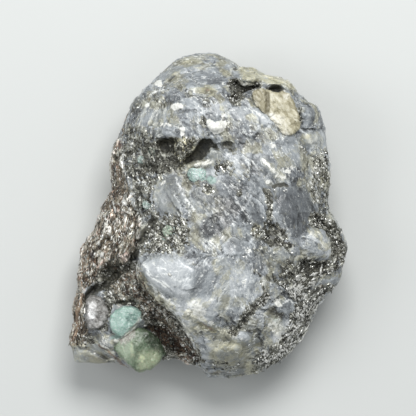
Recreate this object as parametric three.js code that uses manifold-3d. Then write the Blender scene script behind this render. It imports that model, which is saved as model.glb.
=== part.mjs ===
// Emerald in matrix: one broken piece of mica schist and grey quartz that
// holds pale teal and green emeralds, a tan feldspar grain and a quartz nodule.
//
// The stone lies on its flat back. Its show face looks up, along +Z.
// Units are millimetres. The origin is under the middle of the stone, at the
// height of the flat face that it rests on.
//
// The plan (the stone seen from above) is drawn in plan units. One plan unit is
// UNIT millimetres, u runs to the right (+X) and v runs down (-Y).

import * as THREE from 'three';
import { mergeVertices } from 'three/addons/utils/BufferGeometryUtils.js';
import Module from 'manifold-3d';

const wasm = await Module();
wasm.setup();

// ---------------------------------------------------------------- dimensions

const UNIT = 0.21;            // millimetres in one plan unit
const PLAN_U = 208.5;         // the plan's centre, in plan units
const PLAN_V = 214.5;
const GAP = 0.34;             // clearance between a crystal and its socket
const SEAM = 0.75;            // the seam between the two large emeralds
const SOCKET_DEPTH = 4.2;     // how deep a large crystal sits in the matrix
const GRAIN_DEPTH = 1.6;      // the same for the small grains
const SKIN_DETAIL = 16;       // subdivision of the matrix surface
const ROUGHNESS_MM = 0.35;    // height of the broken texture on the matrix

// Outline of the stone, clockwise from its right side, in plan units.
const OUTLINE = [
  [330, 214], [336, 221], [340, 228], [342, 236], [345, 245], [345, 252], [343, 259], [344, 267],
  [343, 275], [340, 282], [335, 287], [328, 292], [323, 298], [318, 304], [315, 311], [312, 318],
  [308, 325], [304, 333], [300, 340], [294, 346], [288, 353], [283, 360], [275, 364], [267, 368],
  [255, 374], [240, 377], [220, 378], [207, 376], [200, 368], [192, 364], [185, 362], [178, 357],
  [170, 358], [160, 361], [149, 366], [138, 369], [129, 369], [121, 365], [112, 362], [100, 364],
  [88, 363], [74, 364], [71, 352], [71, 339], [75, 323], [72, 314], [75, 301], [78, 290],
  [78, 273], [80, 262], [83, 248], [89, 240], [95, 232], [98, 220], [101, 214], [105, 204],
  [111, 194], [114, 189], [113, 180], [112, 165], [114, 153], [118, 141], [123, 129], [128, 115],
  [135, 102], [140, 96], [145, 88], [155, 80], [165, 72], [173, 63], [183, 57], [200, 53.5],
  [208, 53], [217, 54], [225, 58], [233, 62], [240, 68.5], [255, 70], [262, 74.5], [270, 76.5],
  [278, 77.5], [286, 81], [292, 87], [296, 95], [302, 100], [309, 103], [316, 107], [319, 115],
  [322, 123], [325, 130], [326, 138], [327, 150], [329, 168], [329, 176], [328, 189], [327, 202],
];

// Round the outline by screen angle (0 right, 90 towards +v): the heights of the
// upper and lower end of the steep side wall, the share of the radius where the
// shoulder starts to turn over, and the share that the flat underside covers.
const RIM = [
  [0, 15.0, 4.5, 0.88, 0.80], [20, 14.5, 4.5, 0.87, 0.78], [45, 12.0, 3.5, 0.86, 0.80], [70, 12.0, 3.5, 0.87, 0.82],
  [90, 12.5, 3.5, 0.88, 0.82], [110, 13.5, 3.5, 0.93, 0.80], [122, 14.0, 3.5, 0.95, 0.82], [135, 11.5, 3.0, 0.955, 0.84],
  [150, 10.5, 3.0, 0.93, 0.82], [165, 9.5, 3.0, 0.93, 0.84], [180, 11.0, 3.5, 0.93, 0.84], [200, 12.5, 4.0, 0.91, 0.82],
  [220, 14.5, 4.5, 0.88, 0.80], [250, 15.0, 4.5, 0.87, 0.78], [270, 15.5, 5.0, 0.87, 0.78], [300, 18.0, 5.5, 0.91, 0.78],
  [330, 18.0, 5.5, 0.90, 0.78],
];

// Heights of the quartz and mica body: [u, v, z].
const BODY = [
  [205, 60, 19.0], [185, 66, 19.5], [230, 74, 21.0], [165, 84, 20.0], [150, 104, 19.5], [190, 90, 24.5],
  [220, 95, 25.5], [252, 76, 21.5], [283, 84, 21.5], [175, 115, 25.5], [205, 118, 27.0], [145, 125, 21.0],
  [240, 118, 26.5], [131, 120, 17.0], [266, 106, 24.0], [285, 100, 24.2], [285, 116, 24.6], [300, 104, 22.6], [304, 118, 22.8], [314, 126, 21.2],
  [313, 150, 20.5], [321, 180, 18.5], [150, 137, 23.5], [180, 136, 26.0], [205, 136, 27.5], [235, 138, 27.0],
  [262, 140, 26.0], [290, 145, 23.5], [200, 166, 25.0], [175, 166, 24.0], [150, 166, 22.0], [130, 160, 18.5],
  [121, 150, 15.5], [240, 165, 27.5], [265, 168, 27.0], [295, 168, 24.0], [245, 200, 28.0], [225, 188, 27.5],
  [200, 190, 26.5], [170, 195, 25.5], [150, 195, 23.5], [130, 195, 19.5], [119, 190, 15.5], [272, 200, 26.2],
  [295, 212, 24.8], [314, 205, 20.8], [321, 196, 18.5], [205, 225, 28.0], [235, 225, 28.6], [180, 232, 26.6],
  [160, 232, 25.0], [145, 232, 22.5], [131, 235, 18.5], [112, 232, 15.0], [97, 246, 13.0], [89, 262, 12.0],
  [88, 278, 11.5], [105, 258, 14.5], [120, 250, 16.0], [210, 260, 30.0], [240, 255, 29.4], [165, 266, 28.8],
  [146, 268, 27.4], [185, 286, 29.5], [200, 308, 28.4], [181, 306, 27.0], [164, 292, 27.4], [230, 300, 28.4],
  [265, 270, 27.4], [290, 246, 25.0], [270, 236, 25.4], [310, 245, 22.8], [333, 246, 17.5], [326, 275, 18.0],
  [302, 276, 21.5], [285, 300, 23.2], [308, 302, 17.5], [260, 322, 24.2], [243, 338, 21.8], [225, 350, 21.0],
  [214, 364, 17.5], [240, 366, 16.5], [264, 352, 19.0], [284, 336, 18.0], [205, 338, 22.8], [193, 330, 23.0],
];

// Heights of the lower lobe that holds the two large emeralds.
const LOBE = [
  [132, 272, 17.5], [124, 262, 16.0], [110, 274, 14.0], [98, 286, 12.6], [118, 290, 17.0], [136, 290, 18.8],
  [150, 300, 18.8], [162, 312, 17.8], [176, 326, 16.8], [165, 340, 13.5], [176, 350, 12.5], [155, 326, 15.0],
  [95, 312, 15.5], [80, 320, 13.0], [92, 336, 13.6], [84, 352, 13.2], [103, 350, 14.8], [108, 336, 16.2],
  [115, 326, 16.8], [130, 316, 17.4], [125, 345, 17.0], [140, 350, 17.4], [152, 336, 16.6], [146, 364, 15.8],
  [124, 362, 14.6], [192, 352, 14.0], [200, 366, 12.0], [110, 302, 16.0],
];

// The body ends in a cliff over the lobe. This closed line is the body's side.
const CLIFF = [
  [60, 302], [78, 292], [92, 288], [106, 281], [118, 268], [128, 258], [138, 255], [141, 264],
  [140, 275], [148, 287], [163, 300], [178, 314], [186, 328], [194, 342], [200, 356], [206, 384],
  [420, 384], [420, 0], [0, 0], [0, 302],
];
const CLIFF_WIDTH = 3.2;      // plan units over which the cliff falls

// Hollows: [u, v, half length, half width, turn in degrees, depth in mm].
const HOLLOWS = [
  [203, 149, 14, 9.5, -50, 5.2], [167, 147, 8.5, 7.5, 0, 3.4], [184, 154, 7, 12, 0, 2.6],
  [230, 147, 8, 4.5, -10, 2.4], [281, 185, 7, 3.2, 0, 2.2], [250, 88, 16, 5, -18, 3.4],
  [279, 88, 6, 4, 0, 2.6], [270, 234, 9, 8, 30, 1.8], [148, 168, 10, 4, -20, 1.8],
  [112, 272, 13, 11, 40, 3.0], [97, 290, 13, 5.5, -25, 2.2], [131, 257, 8, 5, -20, 2.2],
  [171, 338, 20, 9, 28, 2.6], [126, 299, 15, 5, 0, 1.4], [117, 160, 4, 7, 0, 1.8],
];

// Open cracks: half width in plan units, depth in mm, and the line they follow.
const CRACKS = [
  [2.6, 1.3, [[262, 298], [252, 308], [244, 320], [232, 333]]],
  [2.2, 1.2, [[268, 192], [271, 212], [268, 228], [272, 244]]],
  [2.4, 1.2, [[158, 222], [148, 234], [141, 248]]],
  [2.6, 1.4, [[320, 216], [334, 228], [337, 246], [326, 256], [304, 262]]],
  [2.0, 0.9, [[160, 176], [140, 188], [132, 204]]],
];

// Flat chips struck off the sides and the lower edge. Each is a plane: the
// direction it faces (turn in degrees from +X, lift in degrees) and its bite,
// the depth in mm that it takes off the stone's furthest point that way.
const HEART_Z = 12.5;
const CHIPS = [
  [6, -18, 1.6], [34, -36, 3.6], [64, -14, 1.8], [94, -34, 3.0], [124, -16, 1.8], [150, -40, 4.0],
  [178, -16, 1.8], [206, -36, 3.6], [228, -34, 3.2], [252, -40, 4.0], [276, -16, 1.6], [301, -36, 3.6],
  [333, -24, 2.4], [15, -58, 3.0], [110, -60, 2.8], [190, -58, 2.8], [280, -60, 3.2],
];

// -------------------------------------------------------------- small helpers

const planX = (u) => (u - PLAN_U) * UNIT;
const planY = (v) => (PLAN_V - v) * UNIT;
const smooth = (a, b, x) => {
  const t = Math.min(1, Math.max(0, (x - a) / (b - a)));
  return t * t * (3 - 2 * t);
};

// A repeatable random number in 0..1 for a whole-number grid point.
function hash(x, y, z) {
  let h = Math.imul(x, 374761393) ^ Math.imul(y, 668265263) ^ Math.imul(z, 2147483629);
  h = Math.imul(h ^ (h >>> 13), 1274126177);
  return ((h ^ (h >>> 16)) >>> 0) / 4294967296;
}

function noise(p, scale) {
  const x = p.x / scale, y = p.y / scale, z = p.z / scale;
  const i = Math.floor(x), j = Math.floor(y), k = Math.floor(z);
  const f = smooth(0, 1, x - i), g = smooth(0, 1, y - j), h = smooth(0, 1, z - k);
  let sum = 0;
  for (let a = 0; a < 2; a++) for (let b = 0; b < 2; b++) for (let c = 0; c < 2; c++) {
    sum += hash(i + a, j + b, k + c) * (a ? f : 1 - f) * (b ? g : 1 - g) * (c ? h : 1 - h);
  }
  return sum * 2 - 1;
}

// A surface through scattered heights, straight between them where it can be.
function surface(points) {
  const n = points.length, m = n + 3;
  const rows = [];
  for (let i = 0; i < m; i++) rows.push(new Float64Array(m + 1));
  for (let i = 0; i < n; i++) {
    for (let j = 0; j < n; j++) {
      rows[i][j] = Math.hypot(points[i][0] - points[j][0], points[i][1] - points[j][1]);
    }
    rows[i][i] = -0.6;
    const base = [1, points[i][0] / 100, points[i][1] / 100];
    for (let k = 0; k < 3; k++) { rows[i][n + k] = base[k]; rows[n + k][i] = base[k]; }
    rows[i][m] = points[i][2];
  }
  for (let c = 0; c < m; c++) {
    let p = c;
    for (let r = c + 1; r < m; r++) if (Math.abs(rows[r][c]) > Math.abs(rows[p][c])) p = r;
    [rows[c], rows[p]] = [rows[p], rows[c]];
    for (let r = c + 1; r < m; r++) {
      const f = rows[r][c] / rows[c][c];
      if (f !== 0) for (let k = c; k <= m; k++) rows[r][k] -= f * rows[c][k];
    }
  }
  const w = new Float64Array(m);
  for (let r = m - 1; r >= 0; r--) {
    let s = rows[r][m];
    for (let k = r + 1; k < m; k++) s -= rows[r][k] * w[k];
    w[r] = s / rows[r][r];
  }
  return (u, v) => {
    let s = w[n] + w[n + 1] * u / 100 + w[n + 2] * v / 100;
    for (let i = 0; i < n; i++) s += w[i] * Math.hypot(u - points[i][0], v - points[i][1]);
    return s;
  };
}

// Distance to a line of points, and to a closed outline (negative inside).
function toSegment(u, v, a, b) {
  const dx = b[0] - a[0], dy = b[1] - a[1];
  const t = Math.min(1, Math.max(0, ((u - a[0]) * dx + (v - a[1]) * dy) / (dx * dx + dy * dy)));
  return Math.hypot(u - a[0] - t * dx, v - a[1] - t * dy);
}
function toOutline(u, v, poly) {
  let d = 1e9, inside = false;
  for (let i = 0, j = poly.length - 1; i < poly.length; j = i++) {
    d = Math.min(d, toSegment(u, v, poly[j], poly[i]));
    const [ax, ay] = poly[i], [bx, by] = poly[j];
    if ((ay > v) !== (by > v) && u < ((bx - ax) * (v - ay)) / (by - ay) + ax) inside = !inside;
  }
  return inside ? -d : d;
}

// Where a ray from the plan's centre leaves the outline.
function outlineRadius(angle) {
  const dx = Math.cos(angle), dy = Math.sin(angle);
  let best = 0;
  for (let i = 0; i < OUTLINE.length; i++) {
    const a = OUTLINE[i], b = OUTLINE[(i + 1) % OUTLINE.length];
    const ax = a[0] - PLAN_U, ay = a[1] - PLAN_V, ex = b[0] - a[0], ey = b[1] - a[1];
    const det = dx * -ey + dy * ex;
    if (Math.abs(det) < 1e-9) continue;
    const t = (ax * -ey + ay * ex) / det;
    const s = (dx * ay - dy * ax) / det;
    if (t > 0 && s >= -1e-6 && s <= 1 + 1e-6) best = Math.max(best, t);
  }
  return best;
}

function rimAt(angle) {
  const deg = ((angle * 180) / Math.PI + 360) % 360;
  for (let i = 0; i < RIM.length; i++) {
    const a = RIM[i], b = RIM[(i + 1) % RIM.length];
    const end = i + 1 < RIM.length ? b[0] : 360;
    if (deg >= a[0] && deg <= end) {
      const t = smooth(0, 1, (deg - a[0]) / (end - a[0]));
      return [1, 2, 3, 4].map((k) => a[k] + (b[k] - a[k]) * t);
    }
  }
  return RIM[0].slice(1);
}

// ------------------------------------------------------- heights of the stone

const bodyHeight = surface(BODY);
const lobeHeight = surface(LOBE);

function faceHeight(u, v) {
  const side = toOutline(u, v, CLIFF);
  const low = smooth(-CLIFF_WIDTH, CLIFF_WIDTH, side);
  let z = bodyHeight(u, v) * (1 - low) + lobeHeight(u, v) * low;
  for (const [cu, cv, a, b, turn, depth] of HOLLOWS) {
    const t = (turn * Math.PI) / 180, du = u - cu, dv = v - cv;
    const p = (du * Math.cos(t) + dv * Math.sin(t)) / a, q = (-du * Math.sin(t) + dv * Math.cos(t)) / b;
    z -= depth * (1 - smooth(0.5, 1.15, Math.hypot(p, q)));
  }
  for (const [half, depth, line] of CRACKS) {
    let d = 1e9;
    for (let i = 1; i < line.length; i++) d = Math.min(d, toSegment(u, v, line[i - 1], line[i]));
    z -= depth * (1 - smooth(0.3, 1, d / half));
  }
  return z;
}

// ------------------------------------------------------------------- the matrix

// A sphere's skin is drawn out over the stone: its upper part becomes the show
// face, its middle the sides, and its lower part the back with the flat face.
function matrixGeometry() {
  const g = new THREE.IcosahedronGeometry(1, SKIN_DETAIL);
  g.deleteAttribute('normal');
  g.deleteAttribute('uv');
  const skin = mergeVertices(g, 1e-5);
  const pos = skin.attributes.position;
  const p = new THREE.Vector3();
  const heart = new THREE.Vector3(0, 0, HEART_Z);
  const RIM_ANGLE = 1.95;     // the show face takes the larger share
  const UNDERCUT = 0.965;     // the wall leans in by this much at its foot
  const rimTop = new Float32Array(pos.count);
  for (let i = 0; i < pos.count; i++) {
    p.fromBufferAttribute(pos, i).normalize();
    const angle = Math.atan2(-p.y, p.x);          // v runs down
    const fall = Math.acos(Math.min(1, Math.max(-1, p.z)));
    const R = outlineRadius(angle);
    const [wallTop, wallFoot, shoulder, foot] = rimAt(angle);
    rimTop[i] = wallTop;
    let share, z;
    if (fall <= RIM_ANGLE) {
      const s = Math.sqrt((1 - Math.cos(fall)) / (1 - Math.cos(RIM_ANGLE)));
      const turn = 0.84;
      const a = s < turn ? 0 : ((s - turn) / (1 - turn)) * (Math.PI / 2);
      share = s < turn ? (shoulder * s) / turn : shoulder + (1 - shoulder) * Math.sin(a);
      const u = PLAN_U + R * share * Math.cos(angle), v = PLAN_V + R * share * Math.sin(angle);
      z = wallTop + (faceHeight(u, v) - wallTop) * Math.cos(a);
    } else {
      const s = Math.sqrt((1 + Math.cos(fall)) / (1 + Math.cos(RIM_ANGLE)));
      const turn = 0.36, wall = 0.66;
      if (s > wall) {
        const a = (1 - s) / (1 - wall);
        share = 1 + (UNDERCUT - 1) * a;
        z = wallTop + (wallFoot - wallTop) * a;
      } else if (s > turn) {
        const a = ((s - turn) / (wall - turn)) * (Math.PI / 2);
        share = foot + (UNDERCUT - foot) * Math.sin(a);
        z = wallFoot * (1 - Math.cos(a));
      } else {
        share = (foot * s) / turn;
        z = 0;
      }
    }
    pos.setXYZ(i, R * share * Math.cos(angle) * UNIT, -R * share * Math.sin(angle) * UNIT, z);
  }
  // Each chip's plane lies its bite inside the furthest point that way.
  const planes = CHIPS.map(([turnDeg, liftDeg, bite]) => {
    const t = (turnDeg * Math.PI) / 180, l = (liftDeg * Math.PI) / 180;
    const n = new THREE.Vector3(Math.cos(l) * Math.cos(t), Math.cos(l) * Math.sin(t), Math.sin(l));
    let reach = 0;
    for (let i = 0; i < pos.count; i++) reach = Math.max(reach, p.fromBufferAttribute(pos, i).sub(heart).dot(n));
    return [n, reach - bite];
  });
  for (let i = 0; i < pos.count; i++) {
    p.fromBufferAttribute(pos, i);
    if (p.z <= 0) continue;
    for (const [n, reach] of planes) {
      const over = p.clone().sub(heart).dot(n) - reach;
      if (over > 0) p.addScaledVector(n, -over * (1 - smooth(rimTop[i] - 4, rimTop[i], p.z)));
    }
    const rough = ROUGHNESS_MM * (noise(p, 4.1) * 0.7 + noise(p, 2.3) * 0.5) * smooth(0, 2.5, p.z);
    p.addScaledVector(p.clone().sub(heart).normalize(), rough);
    pos.setXYZ(i, p.x, p.y, Math.max(0, p.z));
  }
  return skin;
}

// ----------------------------------------------------------------- the crystals

// A crystal is a prism over an outline in the plan, with bevelled edges, tilted
// a little. grow widens it on every side, to make the socket that it sits in.
function prismGeometry({ plan, top, deep, bevel, tilt, rough = 0 }, grow = 0, reach = 0) {
  const c = plan.reduce((s, q) => [s[0] + q[0] / plan.length, s[1] + q[1] / plan.length], [0, 0]);
  const cx = planX(c[0]), cy = planY(c[1]);
  const pts = plan.map(([u, v]) => {
    const x = planX(u) - cx, y = planY(v) - cy, r = Math.hypot(x, y);
    const k = (r - bevel + grow * 1.12) / r;
    return new THREE.Vector2(x * k, y * k);
  });
  if (THREE.ShapeUtils.isClockWise(pts)) pts.reverse();
  const shape = new THREE.Shape(pts);
  const height = deep + reach + 2 * grow;
  const g = new THREE.ExtrudeGeometry(shape, {
    depth: height - 2 * bevel, bevelEnabled: true, bevelThickness: bevel, bevelSize: bevel,
    bevelSegments: 2, steps: 2, curveSegments: 4,
  });
  g.deleteAttribute('normal');
  g.deleteAttribute('uv');
  const solid = mergeVertices(g, 1e-4);
  solid.translate(0, 0, bevel - deep - grow);
  if (rough) {
    const pos = solid.attributes.position, p = new THREE.Vector3();
    for (let i = 0; i < pos.count; i++) {
      p.fromBufferAttribute(pos, i);
      const d = rough * noise(p.clone().addScalar(7.3), 2.1);
      const out = p.clone().normalize();
      pos.setXYZ(i, p.x + out.x * d, p.y + out.y * d, p.z + out.z * d);
    }
  }
  solid.rotateX((tilt[0] * Math.PI) / 180);
  solid.rotateY((tilt[1] * Math.PI) / 180);
  solid.translate(cx, cy, top);
  return solid;
}

// A lump is a rounded grain: a sphere drawn out to three half sizes, with a few
// flats pressed into it.
function lumpGeometry({ plan, half, top, turn, rough }, grow = 0) {
  const g = new THREE.IcosahedronGeometry(1, 4);
  g.deleteAttribute('normal');
  g.deleteAttribute('uv');
  const solid = mergeVertices(g, 1e-5);
  const pos = solid.attributes.position, p = new THREE.Vector3();
  for (let i = 0; i < pos.count; i++) {
    p.fromBufferAttribute(pos, i);
    const d = 1 + rough * noise(p.clone().addScalar(3.1), 0.8);
    pos.setXYZ(i, p.x * (half[0] * d + grow), p.y * (half[1] * d + grow), p.z * (half[2] * d + grow));
  }
  solid.rotateZ((turn * Math.PI) / 180);
  solid.translate(planX(plan[0]), planY(plan[1]), top - half[2]);
  return solid;
}

function hexagon(u, v, r, turn, squash = 1) {
  const pts = [];
  for (let i = 0; i < 6; i++) {
    const a = (turn * Math.PI) / 180 + (i * Math.PI) / 3;
    pts.push([u + r * Math.cos(a), v + r * squash * Math.sin(a)]);
  }
  return pts;
}

const CRYSTALS = {
  emerald_teal: {
    plan: [[112, 315], [118, 308], [127, 305], [136, 307.5], [140.5, 314], [137, 323], [129, 331], [118, 334], [111.5, 326]],
    top: 19.4, deep: SOCKET_DEPTH + 2, bevel: 0.7, tilt: [-6, -8], rough: 0.16,
    colour: 0x8fb8a8, roughness: 0.38,
  },
  emerald_green: {
    plan: [[114, 348], [121, 341], [131, 338], [138, 331], [148, 328], [156, 335], [161, 345], [162, 353],
      [158, 361], [150, 368], [140, 372.5], [131, 369], [122, 361], [116, 354]],
    top: 18.8, deep: SOCKET_DEPTH + 5, bevel: 0.9, tilt: [8, 5], rough: 0.22,
    colour: 0x6f8b6b, roughness: 0.42,
  },
  emerald_vug: {
    plan: [[189.5, 170], [193, 165.5], [199.5, 165], [203.5, 169], [202.5, 175], [197, 178.5], [191, 176.5]],
    top: 26.4, deep: 3.2, bevel: 0.3, tilt: [-10, -6], rough: 0.05,
    colour: 0x9cc9bd, roughness: 0.3,
  },
  emerald_grain_left: {
    plan: hexagon(147.5, 205, 4.6, 12, 0.85), top: 23.9, deep: GRAIN_DEPTH + 0.7, bevel: 0.18, tilt: [6, -12],
    colour: 0x86a79b, roughness: 0.4,
  },
  emerald_grain_low: {
    plan: hexagon(169, 231.5, 5.2, 30, 1.15), top: 26.3, deep: GRAIN_DEPTH + 0.7, bevel: 0.2, tilt: [-4, 8],
    colour: 0x7d9a83, roughness: 0.42,
  },
  emerald_grain_high: {
    plan: hexagon(141, 160, 4.0, 0, 0.9), top: 21.2, deep: GRAIN_DEPTH + 0.5, bevel: 0.16, tilt: [8, -14],
    colour: 0x869a98, roughness: 0.42,
  },
  feldspar_tan: {
    plan: [[254, 97], [259, 91], [266, 92.5], [275, 93.5], [285, 91.5], [292, 97], [297, 111], [299.5, 124],
      [295.5, 133], [286, 135.5], [276, 129], [266, 119], [262, 112], [255, 107]],
    top: 25.2, deep: SOCKET_DEPTH + 1.5, bevel: 0.6, tilt: [-4, 7], rough: 0.2,
    colour: 0xc4ba94, roughness: 0.6,
  },
};

const NODULE = {
  plan: [97, 313], half: [2.5, 3.6, 3.4], top: 17.6, turn: -8, rough: 0.12,
  colour: 0xa9abad, roughness: 0.4,
};

// ------------------------------------------------------- joining and cutting

function toManifold(geometry) {
  return new wasm.Manifold(new wasm.Mesh({
    numProp: 3,
    vertProperties: new Float32Array(geometry.attributes.position.array),
    triVerts: new Uint32Array(geometry.index.array),
  }));
}

function toGeometry(manifold) {
  const mesh = manifold.getMesh();
  const g = new THREE.BufferGeometry();
  g.setAttribute('position', new THREE.BufferAttribute(new Float32Array(mesh.vertProperties), 3));
  g.setIndex(new THREE.BufferAttribute(new Uint32Array(mesh.triVerts), 1));
  return g;
}

const pieces = {};
let matrix = toManifold(matrixGeometry());
for (const [name, spec] of Object.entries(CRYSTALS)) {
  let geometry = prismGeometry(spec);
  if (name === 'emerald_green') {
    // A thin seam of matrix parts the two large emeralds.
    geometry = toGeometry(toManifold(geometry).subtract(toManifold(prismGeometry(CRYSTALS.emerald_teal, SEAM))));
  }
  pieces[name] = { geometry, spec };
  matrix = matrix.subtract(toManifold(prismGeometry(spec, GAP, 6)));
}
pieces.quartz_nodule = { geometry: lumpGeometry(NODULE), spec: NODULE };
matrix = matrix.subtract(toManifold(lumpGeometry(NODULE, GAP)));

// Cutting the sockets can leave loose crumbs: only the stone itself is kept.
const whole = matrix.decompose().sort((a, b) => b.volume() - a.volume())[0];
pieces.matrix = { geometry: toGeometry(whole), spec: { colour: 0x86857e, roughness: 0.62 } };

// ------------------------------------------------------------- the scene graph

// The origin goes under the middle of the finished stone.
const bounds = new THREE.Box3();
for (const { geometry } of Object.values(pieces)) {
  geometry.computeBoundingBox();
  bounds.union(geometry.boundingBox);
}
const middle = bounds.getCenter(new THREE.Vector3());

const stone = new THREE.Group();
stone.name = 'emerald_in_matrix';
stone.position.set(-middle.x, -middle.y, -bounds.min.z);
for (const name of ['matrix', ...Object.keys(CRYSTALS), 'quartz_nodule']) {
  const { geometry, spec } = pieces[name];
  geometry.computeVertexNormals();
  const material = new THREE.MeshStandardMaterial({ color: spec.colour, roughness: spec.roughness, metalness: 0 });
  const mesh = new THREE.Mesh(geometry, material);
  mesh.name = name;
  stone.add(mesh);
}

const root = new THREE.Group();
root.add(stone);
export default root;
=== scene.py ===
import bpy, bmesh, math
import numpy as np
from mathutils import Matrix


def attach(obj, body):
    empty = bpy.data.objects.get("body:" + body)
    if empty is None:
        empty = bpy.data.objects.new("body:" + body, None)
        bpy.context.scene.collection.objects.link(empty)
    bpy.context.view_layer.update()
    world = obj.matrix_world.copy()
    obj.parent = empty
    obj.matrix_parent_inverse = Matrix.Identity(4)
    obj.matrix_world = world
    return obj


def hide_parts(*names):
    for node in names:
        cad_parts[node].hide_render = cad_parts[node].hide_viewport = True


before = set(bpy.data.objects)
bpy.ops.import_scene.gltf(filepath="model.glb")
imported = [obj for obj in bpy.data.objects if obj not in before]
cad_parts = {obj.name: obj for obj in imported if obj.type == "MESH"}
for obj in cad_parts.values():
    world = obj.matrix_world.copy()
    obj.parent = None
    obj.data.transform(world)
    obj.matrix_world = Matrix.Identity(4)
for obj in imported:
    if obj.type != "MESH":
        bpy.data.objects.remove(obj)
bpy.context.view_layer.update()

# ---------------------------------------------------------------------------
# The plan: u runs right, v runs down, UNIT millimetres each. All shapes below
# are worked out in millimetres and written to the meshes in metres.
# ---------------------------------------------------------------------------
UNIT, PLAN_U, PLAN_V = 0.21, 208.5, 214.5
SHIFT = (0.080636, 0.195694)      # from the plan's centre to the frame's origin, mm

OUTLINE = np.array([
    [330, 214], [336, 221], [340, 228], [342, 236], [345, 245], [345, 252], [343, 259], [344, 267],
    [343, 275], [340, 282], [335, 287], [328, 292], [323, 298], [318, 304], [315, 311], [312, 318],
    [308, 325], [304, 333], [300, 340], [294, 346], [288, 353], [283, 360], [275, 364], [267, 368],
    [255, 374], [240, 377], [220, 378], [207, 376], [200, 368], [192, 364], [185, 362], [178, 357],
    [170, 358], [160, 361], [149, 366], [138, 369], [129, 369], [121, 365], [112, 362], [100, 364],
    [88, 363], [74, 364], [71, 352], [71, 339], [75, 323], [72, 314], [75, 301], [78, 290],
    [78, 273], [80, 262], [83, 248], [89, 240], [95, 232], [98, 220], [101, 214], [105, 204],
    [111, 194], [114, 189], [113, 180], [112, 165], [114, 153], [118, 141], [123, 129], [128, 115],
    [135, 102], [140, 96], [145, 88], [155, 80], [165, 72], [173, 63], [183, 57], [200, 53.5],
    [208, 53], [217, 54], [225, 58], [233, 62], [240, 68.5], [255, 70], [262, 74.5], [270, 76.5],
    [278, 77.5], [286, 81], [292, 87], [296, 95], [302, 100], [309, 103], [316, 107], [319, 115],
    [322, 123], [325, 130], [326, 138], [327, 150], [329, 168], [329, 176], [328, 189], [327, 202]], float)
RIM = np.array([
    [0, 15.0, 4.5, 0.88, 0.80], [20, 14.5, 4.5, 0.87, 0.78], [45, 12.0, 3.5, 0.86, 0.80], [70, 12.0, 3.5, 0.87, 0.82],
    [90, 12.5, 3.5, 0.88, 0.82], [110, 13.5, 3.5, 0.93, 0.80], [122, 14.0, 3.5, 0.95, 0.82], [135, 11.5, 3.0, 0.955, 0.84],
    [150, 10.5, 3.0, 0.93, 0.82], [165, 9.5, 3.0, 0.93, 0.84], [180, 11.0, 3.5, 0.93, 0.84], [200, 12.5, 4.0, 0.91, 0.82],
    [220, 14.5, 4.5, 0.88, 0.80], [250, 15.0, 4.5, 0.87, 0.78], [270, 15.5, 5.0, 0.87, 0.78], [300, 18.0, 5.5, 0.91, 0.78],
    [330, 18.0, 5.5, 0.90, 0.78], [360, 15.0, 4.5, 0.88, 0.80]])
BODY = np.array([
    [205, 60, 19.0], [185, 66, 19.5], [230, 74, 21.0], [165, 84, 20.0], [150, 104, 19.5], [190, 90, 24.5],
    [220, 95, 25.5], [252, 76, 21.5], [283, 84, 21.5], [175, 115, 25.5], [205, 118, 27.0], [145, 125, 21.0],
    [240, 118, 26.5], [131, 120, 17.0], [266, 106, 24.0], [285, 100, 24.2], [285, 116, 24.6], [300, 104, 22.6],
    [304, 118, 22.8], [314, 126, 21.2],
    [313, 150, 20.5], [321, 180, 18.5], [150, 137, 23.5], [180, 136, 26.0], [205, 136, 27.5], [235, 138, 27.0],
    [262, 140, 26.0], [290, 145, 23.5], [200, 166, 25.0], [175, 166, 24.0], [150, 166, 22.0], [130, 160, 18.5],
    [121, 150, 15.5], [240, 165, 27.5], [265, 168, 27.0], [295, 168, 24.0], [245, 200, 28.0], [225, 188, 27.5],
    [200, 190, 26.5], [170, 195, 25.5], [150, 195, 23.5], [130, 195, 19.5], [119, 190, 15.5], [272, 200, 26.2],
    [295, 212, 24.8], [314, 205, 20.8], [321, 196, 18.5], [205, 225, 28.0], [235, 225, 28.6], [180, 232, 26.6],
    [160, 232, 25.0], [145, 232, 22.5], [131, 235, 18.5], [112, 232, 15.0], [97, 246, 13.0], [89, 262, 12.0],
    [88, 278, 11.5], [105, 258, 14.5], [120, 250, 16.0], [210, 260, 30.0], [240, 255, 29.4], [165, 266, 28.8],
    [146, 268, 27.4], [185, 286, 29.5], [200, 308, 28.4], [181, 306, 27.0], [164, 292, 27.4], [230, 300, 28.4],
    [265, 270, 27.4], [290, 246, 25.0], [270, 236, 25.4], [310, 245, 22.8], [333, 246, 17.5], [326, 275, 18.0],
    [302, 276, 21.5], [285, 300, 23.2], [308, 302, 17.5], [260, 322, 24.2], [243, 338, 21.8], [225, 350, 21.0],
    [214, 364, 17.5], [240, 366, 16.5], [264, 352, 19.0], [284, 336, 18.0], [205, 338, 22.8], [193, 330, 23.0]], float)
LOBE = np.array([
    [132, 272, 17.5], [124, 262, 16.0], [110, 274, 14.0], [98, 286, 12.6], [118, 290, 17.0], [136, 290, 18.8],
    [150, 300, 18.8], [162, 312, 17.8], [176, 326, 16.8], [165, 340, 13.5], [176, 350, 12.5], [155, 326, 15.0],
    [95, 312, 15.5], [80, 320, 13.0], [92, 336, 13.6], [84, 352, 13.2], [103, 350, 14.8], [108, 336, 16.2],
    [115, 326, 16.8], [130, 316, 17.4], [125, 345, 17.0], [140, 350, 17.4], [152, 336, 16.6], [146, 364, 15.8],
    [124, 362, 14.6], [192, 352, 14.0], [200, 366, 12.0], [110, 302, 16.0]], float)
CLIFF = [[60, 302], [78, 292], [92, 288], [106, 281], [118, 268], [128, 258], [138, 255], [141, 264],
         [140, 275], [148, 287], [163, 300], [178, 314], [186, 328], [194, 342], [200, 356], [206, 384],
         [420, 384], [420, 0], [0, 0], [0, 302]]
HEART_Z = 12.5
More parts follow.
